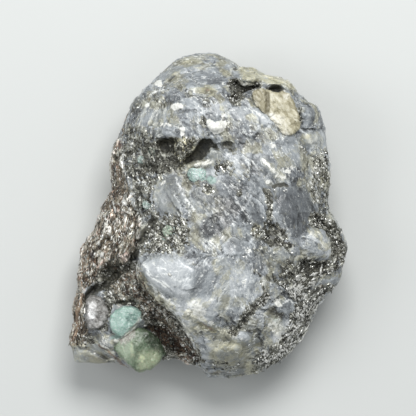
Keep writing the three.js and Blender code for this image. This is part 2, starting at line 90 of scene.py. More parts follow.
CHIPS = [[6, -18, 1.6], [34, -36, 3.6], [64, -14, 1.8], [94, -34, 3.0], [124, -16, 1.8], [150, -40, 4.0],
         [178, -16, 1.8], [206, -36, 3.6], [228, -34, 3.2], [252, -40, 4.0], [276, -16, 1.6], [301, -36, 3.6],
         [333, -24, 2.4], [15, -58, 3.0], [110, -60, 2.8], [190, -58, 2.8], [280, -60, 3.2]]


# ---------------------------------------------------------------- small helpers
def smooth(a, b, x):
    t = np.clip((x - a) / (b - a), 0, 1)
    return t * t * (3 - 2 * t)


def srgb(r, g, b):
    """A colour given as 0..255 screen values, in the linear values that shaders take."""
    f = lambda c: c / 12.92 if c <= 0.04045 else ((c + 0.055) / 1.055) ** 2.4
    return (f(r / 255), f(g / 255), f(b / 255), 1.0)


def _hash(i, j, k, seed):
    with np.errstate(over="ignore"):
        h = (i.astype(np.uint32) * np.uint32(374761393) + j.astype(np.uint32) * np.uint32(668265263)
             + k.astype(np.uint32) * np.uint32(2246822519) + np.uint32(seed * 3266489917 & 0xFFFFFFFF))
        h = (h ^ (h >> np.uint32(15))) * np.uint32(2654435761)
        h = (h ^ (h >> np.uint32(13))) * np.uint32(1274126177)
        return h ^ (h >> np.uint32(16))


def _unit(h):
    return (h & np.uint32(0xFFFFFF)).astype(np.float64) / 16777215.0


def noise(p, scale, seed=0):
    """Smooth gradient noise, about -1..1, with features of about scale mm."""
    q = p / scale
    c = np.floor(q).astype(np.int64)
    f = q - c
    w = f * f * f * (f * (f * 6 - 15) + 10)
    out = np.zeros(len(p))
    for a in (0, 1):
        wa = w[:, 0] if a else 1 - w[:, 0]
        for b in (0, 1):
            wb = w[:, 1] if b else 1 - w[:, 1]
            for d in (0, 1):
                wd = w[:, 2] if d else 1 - w[:, 2]
                h = _hash(c[:, 0] + a, c[:, 1] + b, c[:, 2] + d, seed)
                gx = (h & np.uint32(1023)).astype(float) / 511.5 - 1
                gy = ((h >> np.uint32(10)) & np.uint32(1023)).astype(float) / 511.5 - 1
                gz = ((h >> np.uint32(20)) & np.uint32(1023)).astype(float) / 511.5 - 1
                out += wa * wb * wd * (gx * (f[:, 0] - a) + gy * (f[:, 1] - b) + gz * (f[:, 2] - d))
    return out * 1.45


def fbm(p, scale, octaves=4, seed=0, gain=0.5):
    out, amp, tot = np.zeros(len(p)), 1.0, 0.0
    for o in range(octaves):
        out += amp * noise(p, scale / 2 ** o, seed + 17 * o)
        tot += amp
        amp *= gain
    return out / tot


def cells(p, scale, seed=0):
    """The nearest random seed of each point: distance, distance to the second, three
    random numbers of the cell, and the vector from its seed, all in mm."""
    q = p / scale
    c = np.floor(q).astype(np.int64)
    n = len(p)
    best, second = np.full(n, 1e9), np.full(n, 1e9)
    rnd, off = np.zeros((n, 3)), np.zeros((n, 3))
    for a in (-1, 0, 1):
        for b in (-1, 0, 1):
            for d in (-1, 0, 1):
                i, j, k = c[:, 0] + a, c[:, 1] + b, c[:, 2] + d
                h1, h2, h3 = _hash(i, j, k, seed), _hash(i, j, k, seed + 101), _hash(i, j, k, seed + 202)
                s = np.stack([i + _unit(h1), j + _unit(h2), k + _unit(h3)], 1)
                v = q - s
                dist = np.sqrt((v ** 2).sum(1))
                near = dist < best
                second = np.where(near, best, np.minimum(second, dist))
                r = np.stack([_unit(_hash(i, j, k, seed + 303)), _unit(_hash(i, j, k, seed + 404)),
                              _unit(_hash(i, j, k, seed + 505))], 1)
                best = np.where(near, dist, best)
                rnd[near] = r[near]
                off[near] = v[near] * scale
    return best * scale, second * scale, rnd, off


def seg_dist(u, v, a, b):
    dx, dy = b[0] - a[0], b[1] - a[1]
    t = np.clip(((u - a[0]) * dx + (v - a[1]) * dy) / max(dx * dx + dy * dy, 1e-9), 0, 1)
    return np.hypot(u - a[0] - t * dx, v - a[1] - t * dy)


def line_dist(u, v, pts):
    d = np.full(len(u), 1e9)
    for a, b in zip(pts, pts[1:]):
        d = np.minimum(d, seg_dist(u, v, a, b))
    return d


def poly_dist(u, v, pts):
    """Distance to a closed outline, negative inside."""
    d, inside = np.full(len(u), 1e9), np.zeros(len(u), bool)
    for i in range(len(pts)):
        a, b = pts[i - 1], pts[i]
        d = np.minimum(d, seg_dist(u, v, a, b))
        if a[1] != b[1]:
            hit = ((a[1] > v) != (b[1] > v)) & (u < (b[0] - a[0]) * (v - a[1]) / (b[1] - a[1]) + a[0])
            inside ^= hit
    return np.where(inside, -d, d)


def surface(points):
    """A surface through scattered heights, straight between them where it can be."""
    n = len(points)
    xy = points[:, :2]
    a = np.zeros((n + 3, n + 3))
    a[:n, :n] = np.hypot(*(xy[:, None] - xy[None]).transpose(2, 0, 1))
    a[np.arange(n), np.arange(n)] = -0.6
    base = np.column_stack([np.ones(n), xy / 100])
    a[:n, n:], a[n:, :n] = base, base.T
    w = np.linalg.solve(a, np.append(points[:, 2], [0, 0, 0]))

    def at(u, v):
        s = w[n] + w[n + 1] * u / 100 + w[n + 2] * v / 100
        for i in range(n):
            s = s + w[i] * np.hypot(u - xy[i, 0], v - xy[i, 1])
        return s
    return at


def outline_radius(angle):
    c = OUTLINE - [PLAN_U, PLAN_V]
    th = np.unwrap(np.arctan2(c[:, 1], c[:, 0]))
    th, c = np.append(th, th[0] + 2 * np.pi), np.vstack([c, c[:1]])
    a = (angle - th[0]) % (2 * np.pi) + th[0]
    i = np.clip(np.searchsorted(th, a, side="right") - 1, 0, len(th) - 2)
    p, e = c[i], c[i + 1] - c[i]
    dx, dy = np.cos(a), np.sin(a)
    return (p[:, 0] * e[:, 1] - p[:, 1] * e[:, 0]) / (dx * e[:, 1] - dy * e[:, 0])


def to_plan(p):
    return (p[:, 0] - SHIFT[0]) / UNIT + PLAN_U, PLAN_V - (p[:, 1] - SHIFT[1]) / UNIT


def plan_xy(u, v):
    return (np.asarray(u, float) - PLAN_U) * UNIT + SHIFT[0], (PLAN_V - np.asarray(v, float)) * UNIT + SHIFT[1]


# ---------------------------------------------------------------- deep relief
# Hollows by outline: [depth in mm, half width of the edge, the outline].
HOLLOWS = [
    (3.6, 2.2, [(205, 138), (212, 139), (215, 143), (220, 147), (218, 151), (212, 148), (209, 151), (206, 156), (201, 160),
                (193, 162), (185, 166), (182, 161), (187, 154), (194, 150), (197, 144), (200, 140)]),
    (3.4, 2.4, [(157, 141), (164, 137.5), (173, 138), (177, 142), (175, 149), (171, 155), (163, 154), (157, 148)]),
    (1.5, 2.2, [(218, 144), (225, 141), (232, 141.5), (237, 147), (235, 151), (230, 151.5), (224, 151.5), (219, 149)]),
    (3.6, 2.0, [(230, 80), (237, 79), (242, 84), (250, 83.5), (257, 82), (261, 85), (258, 90), (250, 92.5), (243, 96), (240, 100), (236, 105), (231, 101), (232, 91)]),
    (2.8, 1.6, [(268, 91), (271, 86), (280, 85), (285, 90), (278, 93)]),
    (1.5, 1.5, [(115, 154), (119, 155), (121, 159), (119, 163), (114, 162)]),
    (1.8, 1.6, [(273, 187), (276, 183.5), (282, 182.5), (287, 184), (287, 187.5), (280, 186.5)]),
    (1.4, 1.8, [(262, 235), (266, 239), (273, 241), (279, 243), (276, 246.5), (268, 244.5), (261, 239)]),
    (1.3, 1.8, [(264, 223), (272, 222), (280, 227), (276, 231), (268, 230)]),
    (1.6, 1.8, [(141, 169), (145, 164), (154, 163), (160, 166), (155, 170), (146, 172)]),
    (2.2, 2.2, [(154, 217), (158, 219), (153, 226), (149, 233), (146, 240), (141, 244), (139, 240), (144, 232), (149, 224)]),
    (1.2, 1.6, [(133, 226), (137, 227), (139, 240), (138, 250), (134, 250), (134, 238)]),
    (2.4, 2.0, [(127, 259), (131, 252), (138, 249), (141, 252), (139, 257), (132, 260), (124, 263), (118, 262)]),
    (3.0, 2.6, [(101, 270), (108, 263), (116, 264), (122, 270), (121, 281), (112, 283), (103, 279)]),
    (3.6, 2.6, [(84, 296), (91, 288), (100, 284), (109, 281), (110, 286), (99, 290), (92, 296), (87, 304), (82, 305)]),
    (1.8, 1.8, [(117, 303), (122, 299), (131, 299), (137, 302), (133, 305.5), (124, 305), (118, 308)]),
    (3.2, 3.0, [(141, 328), (150, 324), (164, 326), (176, 335), (186, 350), (180, 353), (168, 350), (160, 343), (154, 333), (146, 331)]),
    (1.6, 1.8, [(231, 334), (237, 326), (243, 318), (250, 309), (259, 302), (263, 304), (254, 311), (247, 319), (242, 326), (236, 335)]),
    (1.6, 2.0, [(311, 219), (321, 219), (331, 225), (337, 235), (339, 248), (337, 258), (331, 258), (334, 247), (331, 235), (325, 228), (315, 224)]),
    (1.6, 2.4, [(300, 262), (309, 259), (320, 262), (331, 261), (334, 267), (322, 270), (308, 271), (303, 279), (299, 290), (296, 282), (298, 270)]),
    (0.9, 1.5, [(197, 322), (203, 325), (210, 329), (216, 331), (212, 333), (204, 330), (197, 326)]),
    (1.0, 1.4, [(267, 192), (271, 192), (272, 205), (270, 216), (266, 224), (264, 220), (268, 210)]),
    (0.9, 1.4, [(214, 160), (218, 160), (220, 168), (222, 176), (218, 176), (215, 168)]),
    (1.0, 1.6, [(203, 183), (210, 182), (213, 190), (208, 192), (204, 188)]),
    (0.8, 1.4, [(274, 279), (280, 283), (285, 287), (283, 290), (277, 286)]),
]
# Lumps and ledges: [height in mm, half width of the edge, the outline].
RAISED = [
    (1.2, 4.0, [(236, 72), (246, 70), (258, 73), (272, 79), (284, 82), (292, 90), (290, 94), (283, 88), (270, 84), (258, 80), (246, 83), (236, 84)]),
    (0.7, 3.0, [(206, 121), (212, 119), (219, 121), (226, 123), (222, 130), (216, 134), (210, 133), (206, 128)]),
    (0.9, 1.8, [(178, 140), (184, 139), (186, 150), (185, 164), (179, 166), (178, 152)]),
    (0.8, 2.2, [(189, 166), (195, 162), (205, 161), (214, 161), (211, 166), (202, 170), (193, 169)]),
    (1.0, 5.0, [(302, 236), (312, 230), (325, 230), (332, 240), (331, 254), (320, 259), (308, 256), (300, 248)]),
    (0.8, 4.0, [(228, 333), (240, 330), (252, 334), (256, 346), (250, 356), (236, 356), (228, 346)]),
    (0.7, 4.0, [(212, 346), (222, 342), (232, 346), (234, 358), (226, 366), (214, 364), (209, 355)]),
    (0.6, 3.0, [(98, 286), (104, 292), (108, 300), (106, 310), (100, 306), (96, 296)]),
    (0.7, 4.0, [(298, 102), (308, 102), (318, 110), (320, 122), (312, 130), (303, 124), (299, 112)]),
    (0.6, 3.0, [(302, 132), (312, 130), (322, 134), (322, 144), (312, 148), (303, 142)]),
    (0.8, 3.5, [(141, 262), (160, 256), (180, 258), (196, 268), (197, 284), (186, 298), (170, 296), (154, 288), (144, 278)]),
]

# Rounded lumps: [height in mm, u, v, half length, half width, turn in degrees].
DOMES = [
    (1.1, 249, 77, 10, 8, 10), (1.0, 268, 82, 10, 6, 20), (1.0, 286, 85, 8, 6, 30), (.8, 236, 70, 6, 5, 20), (.5, 225, 62, 6, 5, 30),
    (.8, 309, 112, 10, 10, 60), (.8, 312, 138, 11, 8, 30), (.9, 202, 164.5, 12, 3.4, -8), (1.0, 216, 127, 10, 6, 20), (.7, 177, 106, 7, 4, 5),
    (2.2, 230, 357, 16.5, 13.5, 0), (1.9, 242, 341, 12.5, 11.5, 0), (.9, 209, 352, 6, 9, 0), (.8, 232, 368, 9, 5, 0), (.7, 272, 169, 12, 4.5, 45), (.5, 171, 196, 16, 22, 12), (.5, 294, 212, 18, 25, -14),
    (.9, 317, 244, 12, 13, 0), (.6, 247, 284, 6, 9, 20), (.6, 205, 342, 7, 5, 0), (.5, 192, 328, 8, 6, 0), (.6, 146, 192, 5, 6, 0),
    (.7, 124, 200, 5, 8, 0), (.8, 112, 224, 6, 14, 15), (.8, 128, 236, 5, 16, 5), (.7, 100, 248, 6, 12, 25), (.8, 90, 270, 6, 14, 10),
    (.7, 118, 176, 4, 14, 0), (.6, 104, 262, 5, 7, 0), (.9, 143, 233, 4, 10, 25), (.8, 80, 290, 4, 16, 5), (.8, 127, 284, 10, 7, 40),
    (.7, 139, 297, 8, 6, 40), (.6, 150, 310, 8, 6, 40), (.6, 110, 297, 5, 9, 0), (.8, 130, 338, 8, 6, -30), (.8, 106, 341, 7, 7, 0),
    (.5, 164, 318, 8, 7, 45), (.5, 178, 334, 7, 8, 45), (.5, 168, 344, 6, 6, 0),
]
# Narrow gaps between the layers and along cracks: [depth in mm, half width, points].
GROOVES = [
    (1.2, 1.8, [(123, 172), (125, 184), (127, 195), (124, 206), (121, 217), (123, 229)]), (.9, 1.5, [(133, 192), (134, 206), (137, 219), (138, 232), (139, 246)]),
    (.9, 1.4, [(113, 200), (111, 214), (107, 227), (104, 240), (100, 251)]), (.9, 1.4, [(118, 188), (116, 204), (114, 221), (112, 236), (111, 250)]),
    (.8, 1.3, [(98, 236), (94, 250), (91, 263), (90, 276)]), (.9, 1.4, [(129, 212), (129, 226), (127, 241), (122, 254)]),
    (.7, 1.2, [(86, 250), (84, 264), (83, 278), (82, 290)]), (.7, 1.2, [(104, 213), (99, 228), (94, 241)]), (.8, 1.2, [(118, 145), (117, 160), (118, 176), (120, 188)]),
    (.6, 1.3, [(140, 190), (143, 200), (141, 212), (146, 222)]), (.6, 1.2, [(158, 178), (155, 190), (157, 202), (163, 214)]), (.5, 1.2, [(266, 93), (267, 102), (267, 111)]),
    (.5, 1.2, [(206, 195), (212, 205), (221, 214), (229, 224)]), (.5, 1.2, [(224, 196), (234, 204), (244, 216), (250, 226)]), (.5, 1.2, [(186, 190), (190, 202), (196, 212), (205, 222)]),
    (.6, 1.3, [(300, 98), (301, 108), (300, 120), (297, 131)]), (.5, 1.2, [(198, 258), (188, 272), (178, 286), (172, 298)]), (.5, 1.2, [(214, 262), (206, 276), (198, 292), (188, 304)]),
    (.5, 1.2, [(256, 268), (262, 282), (266, 298)]), (.6, 1.2, [(284, 262), (290, 276), (296, 290)]), (.5, 1.2, [(302, 152), (308, 164), (314, 178), (318, 194)]),
    (.5, 1.2, [(244, 166), (250, 178), (257, 190), (262, 204)]), (.5, 1.2, [(150, 86), (160, 96), (170, 104), (182, 112)]), (.4, 1.2, [(178, 70), (192, 71), (208, 68), (222, 68)]),
    (.7, 1.3, [(143, 268), (147, 283), (158, 296), (172, 310), (182, 325)]), 
    (1.0, 1.6, [(214, 363), (213, 353), (217, 346), (224, 342.5), (232, 343.5), (240, 348), (245, 355), (245, 364)]), (.8, 1.6, [(228, 339), (231, 332), (238, 328.5), (247, 330), (254, 337), (255, 346), (250, 353)]),
    (.5, 1.2, [(254, 346), (264, 348), (274, 344), (284, 334)]), (.6, 1.2, [(112, 337), (118, 343), (122, 352), (126, 362)]), (.5, 1, [(136, 334), (142, 342), (146, 356), (147, 368)]), (-1.7, 2.2, [(114, 341), (122, 337.5), (130, 329.5), (137, 322.5), (144, 316)]), (-1.2, 2.6, [(141, 322), (147, 315), (150, 326)]),
]
# Which way the quartz is streaked: [degrees below a line to the right, outline].
FLOW = [
    (8, [(150, 80), (172, 60), (205, 48), (234, 58), (234, 90), (202, 96), (180, 88), (165, 92)]), (24, [(230, 60), (300, 78), (296, 96), (284, 88), (262, 84), (232, 90)]),
    (62, [(130, 92), (170, 92), (182, 128), (150, 140), (120, 130)]), (36, [(136, 256), (172, 254), (182, 272), (176, 300), (150, 292)]),
    (128, [(176, 262), (190, 254), (226, 256), (230, 298), (214, 332), (188, 330), (172, 304)]), (78, [(226, 256), (264, 254), (270, 300), (246, 320), (226, 332), (212, 332), (230, 298)]),
    (44, [(262, 246), (300, 246), (302, 330), (262, 330), (270, 300)]), (10, [(232, 318), (264, 316), (262, 350), (230, 350)]), (-12, [(206, 338), (240, 338), (240, 372), (206, 372)]),
    (74, [(278, 188), (312, 186), (314, 240), (284, 236)]), (82, [(298, 98), (322, 98), (324, 128), (298, 128)]), (66, [(154, 172), (188, 172), (190, 218), (156, 216)]),
    (30, [(302, 228), (332, 226), (334, 262), (304, 262)]), (108, [(300, 290), (348, 270), (348, 296), (320, 322), (296, 356), (262, 378), (250, 374), (278, 340), (292, 318)]), (62, [(296, 130), (334, 130), (334, 214), (312, 214)]), (150, [(294, 256), (340, 252), (346, 268), (306, 290), (294, 290)]), (70, [(112, 120), (190, 136), (184, 172), (112, 172)]), (5, [(66, 334), (116, 334), (116, 368), (66, 368)]),
]
FLANK = [(60, 235), (96, 222), (106, 190), (110, 140), (121, 138), (126, 165), (134, 190), (140, 212), (147, 226), (141, 247), (132, 256),
         (118, 266), (106, 268), (92, 286), (90, 300), (86, 330), (84, 346), (60, 350)]

# The crystals' outlines as the camera sees them.
TEAL = [(122.8, 306.4), (128.8, 305.6), (137, 307.8), (141.8, 311.8), (142.2, 317.5), (138.6, 323), (133, 327.4), (128, 332.6),
        (122.3, 337.6), (116.4, 335), (112.6, 332.5), (110.4, 327.5), (109.2, 321.5), (110.4, 316), (115, 310.2)]
GREEN = [(119.5, 338), (124.5, 334.5), (130.5, 329.5), (137, 326.5), (147.5, 330), (154, 333.5), (160, 341), (164, 348), (166, 353), (162.5, 359), (158.8, 364.3),
         (155, 367.3), (149.5, 370.6), (146.8, 369.3), (143.8, 371.8), (140, 373), (135.5, 371.6), (128.8, 365.4), (119.8, 357), (113, 349), (116, 342)]
VUG = [(186.5, 173.5), (189, 169.5), (192.5, 167.8), (197, 168.6), (201.5, 167), (205.5, 168.8), (207, 172.5), (206, 177), (207.5, 180), (203, 182.2), (198.5, 181), (194, 182.5), (189.5, 180.5), (188.5, 177)]
GRAIN_LEFT = [(142.5, 203), (146, 200.5), (150, 201.5), (152.5, 204.5), (151, 208), (147, 209.5), (143, 207.5)]
GRAIN_LOW = [(163, 228), (167, 225), (172, 226), (174, 230), (173, 235), (169, 238), (164.5, 236.5), (162, 232)]
GRAIN_HIGH = [(137, 158), (141, 155.5), (146, 156), (148, 159.5), (146, 163), (141, 164), (137.5, 162)]
TAN = [(251.7, 93.3), (256.7, 90), (261.7, 88.3), (266.7, 89.4), (271.7, 92.3), (279.2, 92.5), (284.2, 91.4), (289.2, 93), (291.7, 97.3), (295, 104.2), (298.3, 111.7),
       (300, 118.3), (299.2, 128.3), (295, 133.3), (289.2, 135.6), (283.3, 134.4), (277.5, 128.3), (271.7, 122), (266, 115.5), (260, 111.9), (255.8, 105), (251.9, 98.3)]
NODULE = [(86.5, 300), (90, 296), (96, 295.5), (102, 298), (107, 304), (109, 312), (107.5, 320), (103, 326), (97, 329.5), (91, 330), (87.5, 326), (86, 316), (85.6, 307)]
SEATS = [(.8, TEAL), (1.2, GREEN), (.3, VUG), (.15, GRAIN_LEFT), (.15, GRAIN_LOW), (.15, GRAIN_HIGH), (.9, TAN), (1.0, NODULE)]

body_height, lobe_height = surface(BODY), surface(LOBE)
CAM_DIST, PLANE_Z = 0.70, 0.017            # metres
centre_x, centre_y = ((208 - PLAN_U) * UNIT + SHIFT[0], (PLAN_V - 208) * UNIT + SHIFT[1])


def seen(u, v, z):
    """Where the camera sees a point of the plan that is z mm high, in the same units."""
    k = CAM_DIST * 1000 / (CAM_DIST * 1000 - (z - PLANE_Z * 1000))
    return 208 + (u - 208) * k, 208 + (v - 208) * k


def flow_angle(u, v):
    a = np.full(len(u), 54.0)
    for deg, pts in FLOW:
        a = np.where(poly_dist(u, v, pts) < 0, deg, a)
    return np.radians(a)


def face_height(u, v, p):
    """Height of the show face, deep relief included. p gives the place for the noise."""
    wu, wv = u + 2.2 * noise(p, 1.7, 1), v + 2.2 * noise(p, 1.7, 2)
    low = smooth(-2.0, 2.0, poly_dist(wu, wv, CLIFF))
    z = body_height(u, v) * (1 - low) + lobe_height(u, v) * low
    wu, wv = seen(u, v, z)
    eu, ev = 1.2 * noise(p, 1.6, 5), 1.2 * noise(p, 1.6, 6)
    for size, cu, cv, ra, rb, turn in DOMES:
        t = math.radians(turn)
        du, dv = wu + eu - cu, wv + ev - cv
        k = ((du * math.cos(t) + dv * math.sin(t)) / ra) ** 2 + ((dv * math.cos(t) - du * math.sin(t)) / rb) ** 2
        z += size * np.sqrt(np.clip(1 - k, 0, 1)) * smooth(1, 0.7, k)
    wu, wv = wu + 0.9 * noise(p, 1.1, 3), wv + 0.9 * noise(p, 1.1, 4)
    for size, edge, pts in GROOVES:
        q = np.array(pts)
        near = np.flatnonzero((wu > q[:, 0].min() - 4) & (wu < q[:, 0].max() + 4) & (wv > q[:, 1].min() - 4) & (wv < q[:, 1].max() + 4))
        z[near] -= size * smooth(edge * 1.5, 0, line_dist(wu[near], wv[near], pts))
    for size, pts in SEATS:
        z -= size * (1 - smooth(-2.5, -0.4, poly_dist(wu, wv, pts)))
    for sign, group in ((-1, HOLLOWS), (1, RAISED)):
        for size, edge, pts in group:
            q = np.array(pts)
            near = ((wu > q[:, 0].min() - 6) & (wu < q[:, 0].max() + 6)
                    & (wv > q[:, 1].min() - 6) & (wv < q[:, 1].max() + 6))
            d = poly_dist(wu[near], wv[near], pts)
            z[near] += sign * size * (1 - smooth(-edge, edge * 0.6, d))
    return z


def skin_points(s, angle):
    """The stone's skin. s is 0 in the middle of the show face, 1 at the widest
    line and 2 in the middle of the back."""
    R = outline_radius(angle)
    deg = np.degrees(angle) % 360
    i = np.clip(np.searchsorted(RIM[:, 0], deg, side="right") - 1, 0, len(RIM) - 2)
    t = smooth(0, 1, (deg - RIM[i, 0]) / (RIM[i + 1, 0] - RIM[i, 0]))
    wall_top, wall_foot, shoulder, foot = ((1 - t)[:, None] * RIM[i, 1:] + t[:, None] * RIM[i + 1, 1:]).T
    under = 0.965
    share, z = np.zeros_like(s), np.zeros_like(s)
    up, turn = s <= 1, 0.84
    a = np.clip((s - turn) / (1 - turn), 0, 1) * np.pi / 2
    share[up] = np.where(s < turn, shoulder * s / turn, shoulder + (1 - shoulder) * np.sin(a))[up]
    u, v = PLAN_U + R * share * np.cos(angle), PLAN_V + R * share * np.sin(angle)
    x, y = (u - PLAN_U) * UNIT, (PLAN_V - v) * UNIT
    place = np.column_stack([x, y, np.zeros_like(x)])
    f = face_height(u[up], v[up], place[up])
    z[up] = wall_top[up] + (f - wall_top[up]) * np.cos(a[up])
    r = 2 - s                              # 1 at the widest line, 0 in the middle of the back
    wall, flat = 0.66, 0.36
    b = (1 - r) / (1 - wall)
    on_wall = ~up & (r > wall)
    share = np.where(on_wall, 1 + (under - 1) * b, share)
    z = np.where(on_wall, wall_top + (wall_foot - wall_top) * b, z)
    c = np.clip((r - flat) / (wall - flat), 0, 1) * np.pi / 2
    below = ~up & (r <= wall)
    share = np.where(below, np.where(r > flat, foot + (under - foot) * np.sin(c), foot * r / flat), share)
    z = np.where(below, np.where(r > flat, wall_foot * (1 - np.cos(c)), 0), z)
    return np.column_stack([R * share * np.cos(angle) * UNIT, -R * share * np.sin(angle) * UNIT, z]), wall_top


def chip(p, wall_top):
    heart = np.array([0, 0, HEART_Z])
    planes = []
    for turn, lift, bite in CHIPS:
        t, l = math.radians(turn), math.radians(lift)
        n = np.array([math.cos(l) * math.cos(t), math.cos(l) * math.sin(t), math.sin(l)])
        planes.append((n, ((p - heart) @ n).max() - bite))
    for n, reach in planes:
        over = (p - heart) @ n - reach
        over = np.where((over > 0) & (p[:, 2] > 0), over, 0)
        p = p - (over * (1 - smooth(wall_top - 4, wall_top, p[:, 2])))[:, None] * n
    p[:, 2] = np.maximum(p[:, 2], 0)
    return p


def make_mesh(name, co, faces):
    me = bpy.data.meshes.new(name)
    me.vertices.add(len(co))
    me.vertices.foreach_set("co", np.ascontiguousarray(co, np.float32).ravel())
    k = faces.shape[1]
    me.loops.add(faces.size)
    me.loops.foreach_set("vertex_index", np.ascontiguousarray(faces, np.int32).ravel())
    me.polygons.add(len(faces))
    me.polygons.foreach_set("loop_start", np.arange(0, faces.size, k, dtype=np.int32))
    me.polygons.foreach_set("loop_total", np.full(len(faces), k, np.int32))
    me.update(calc_edges=True)
    return me


def sphere_grid(rings, angles):
    """Vertices: one pole, the rings, the other pole. Triangles facing out."""
    m, n = len(rings), len(angles)
    s = np.concatenate([[rings[0] * 0.3], np.repeat(rings, n), [2 - (2 - rings[-1]) * 0.3]])
    a = np.concatenate([[0.0], np.tile(angles, m), [0.0]])
    i, j = np.meshgrid(np.arange(m - 1), np.arange(n), indexing="ij")
    v = lambda r, c: 1 + r * n + c % n
    q = np.stack([v(i, j), v(i + 1, j), v(i + 1, j + 1), v(i, j + 1)], -1).reshape(-1, 4)
    c = np.arange(n)
    top = np.stack([np.zeros(n, int), v(0, c), v(0, c + 1)], 1)
    end = np.stack([np.full(n, 1 + m * n), v(m - 1, c + 1), v(m - 1, c)], 1)
    tri = np.vstack([q[:, [0, 1, 2]], q[:, [0, 2, 3]], top, end])
    return s, a, tri[:, ::-1]           # screen angles run clockwise seen from above


def remeshed(name, co, tri, voxel):
    """The closed surface again with even faces of about voxel mm."""
    me = make_mesh(name, co, tri)
    ob = bpy.data.objects.new(name, me)
    bpy.context.scene.collection.objects.link(ob)
    mod = ob.modifiers.new("even", "REMESH")
    mod.mode, mod.voxel_size, mod.adaptivity = "VOXEL", voxel, 0.0
    dg = bpy.context.evaluated_depsgraph_get()
    out = bpy.data.meshes.new_from_object(ob.evaluated_get(dg))
    bpy.data.objects.remove(ob)
    bpy.data.meshes.remove(me)
    return out


def refine(me, where):
    """Splits the faces whose centre and normal satisfy where(), then makes triangles."""
    bm = bmesh.new()
    bm.from_mesh(me)
    n = len(me.polygons)
    cen, nor = np.zeros(n * 3), np.zeros(n * 3)
    me.polygons.foreach_get("center", cen)
    me.polygons.foreach_get("normal", nor)
    pick = where(cen.reshape(-1, 3), nor.reshape(-1, 3))
    bm.faces.ensure_lookup_table()
    edges = {e for i in np.flatnonzero(pick) for e in bm.faces[i].edges}
    bmesh.ops.subdivide_edges(bm, edges=sorted(edges, key=lambda e: e.index), cuts=1, use_grid_fill=True)
    bmesh.ops.triangulate(bm, faces=bm.faces[:])
    bm.to_mesh(me)
    bm.free()
    return arrays(me)


def arrays(me):
    co = np.zeros(len(me.vertices) * 3)
    me.vertices.foreach_get("co", co)
    tri = np.zeros(len(me.loops), np.int64)
    me.loops.foreach_get("vertex_index", tri)
    return co.reshape(-1, 3), tri.reshape(-1, 3)


def normals(co, tri):
    a, b, c = co[tri[:, 0]], co[tri[:, 1]], co[tri[:, 2]]
    f = np.cross(b - a, c - a)
    n = np.zeros_like(co)
    for k in range(3):
        for x in range(3):
            n[:, x] += np.bincount(tri[:, k], f[:, x], len(co))
    return n / np.maximum(np.linalg.norm(n, axis=1), 1e-12)[:, None]


def averaged(values, tri, times, share=0.5):
    """Each vertex's value drawn towards its neighbours' mean."""
    e = np.unique(np.sort(np.vstack([tri[:, [0, 1]], tri[:, [1, 2]], tri[:, [2, 0]]]), 1), axis=0)
    n = len(values)
    count = np.bincount(e.ravel(), minlength=n).astype(float)
    v = values.astype(float).copy()
    one = v.ndim == 1
    v = v[:, None] if one else v
    for _ in range(times):
        s = np.empty_like(v)
        for k in range(v.shape[1]):
            s[:, k] = np.bincount(e[:, 0], v[e[:, 1], k], n) + np.bincount(e[:, 1], v[e[:, 0], k], n)
        v = v * (1 - share) + share * s / count[:, None]
    return v[:, 0] if one else v


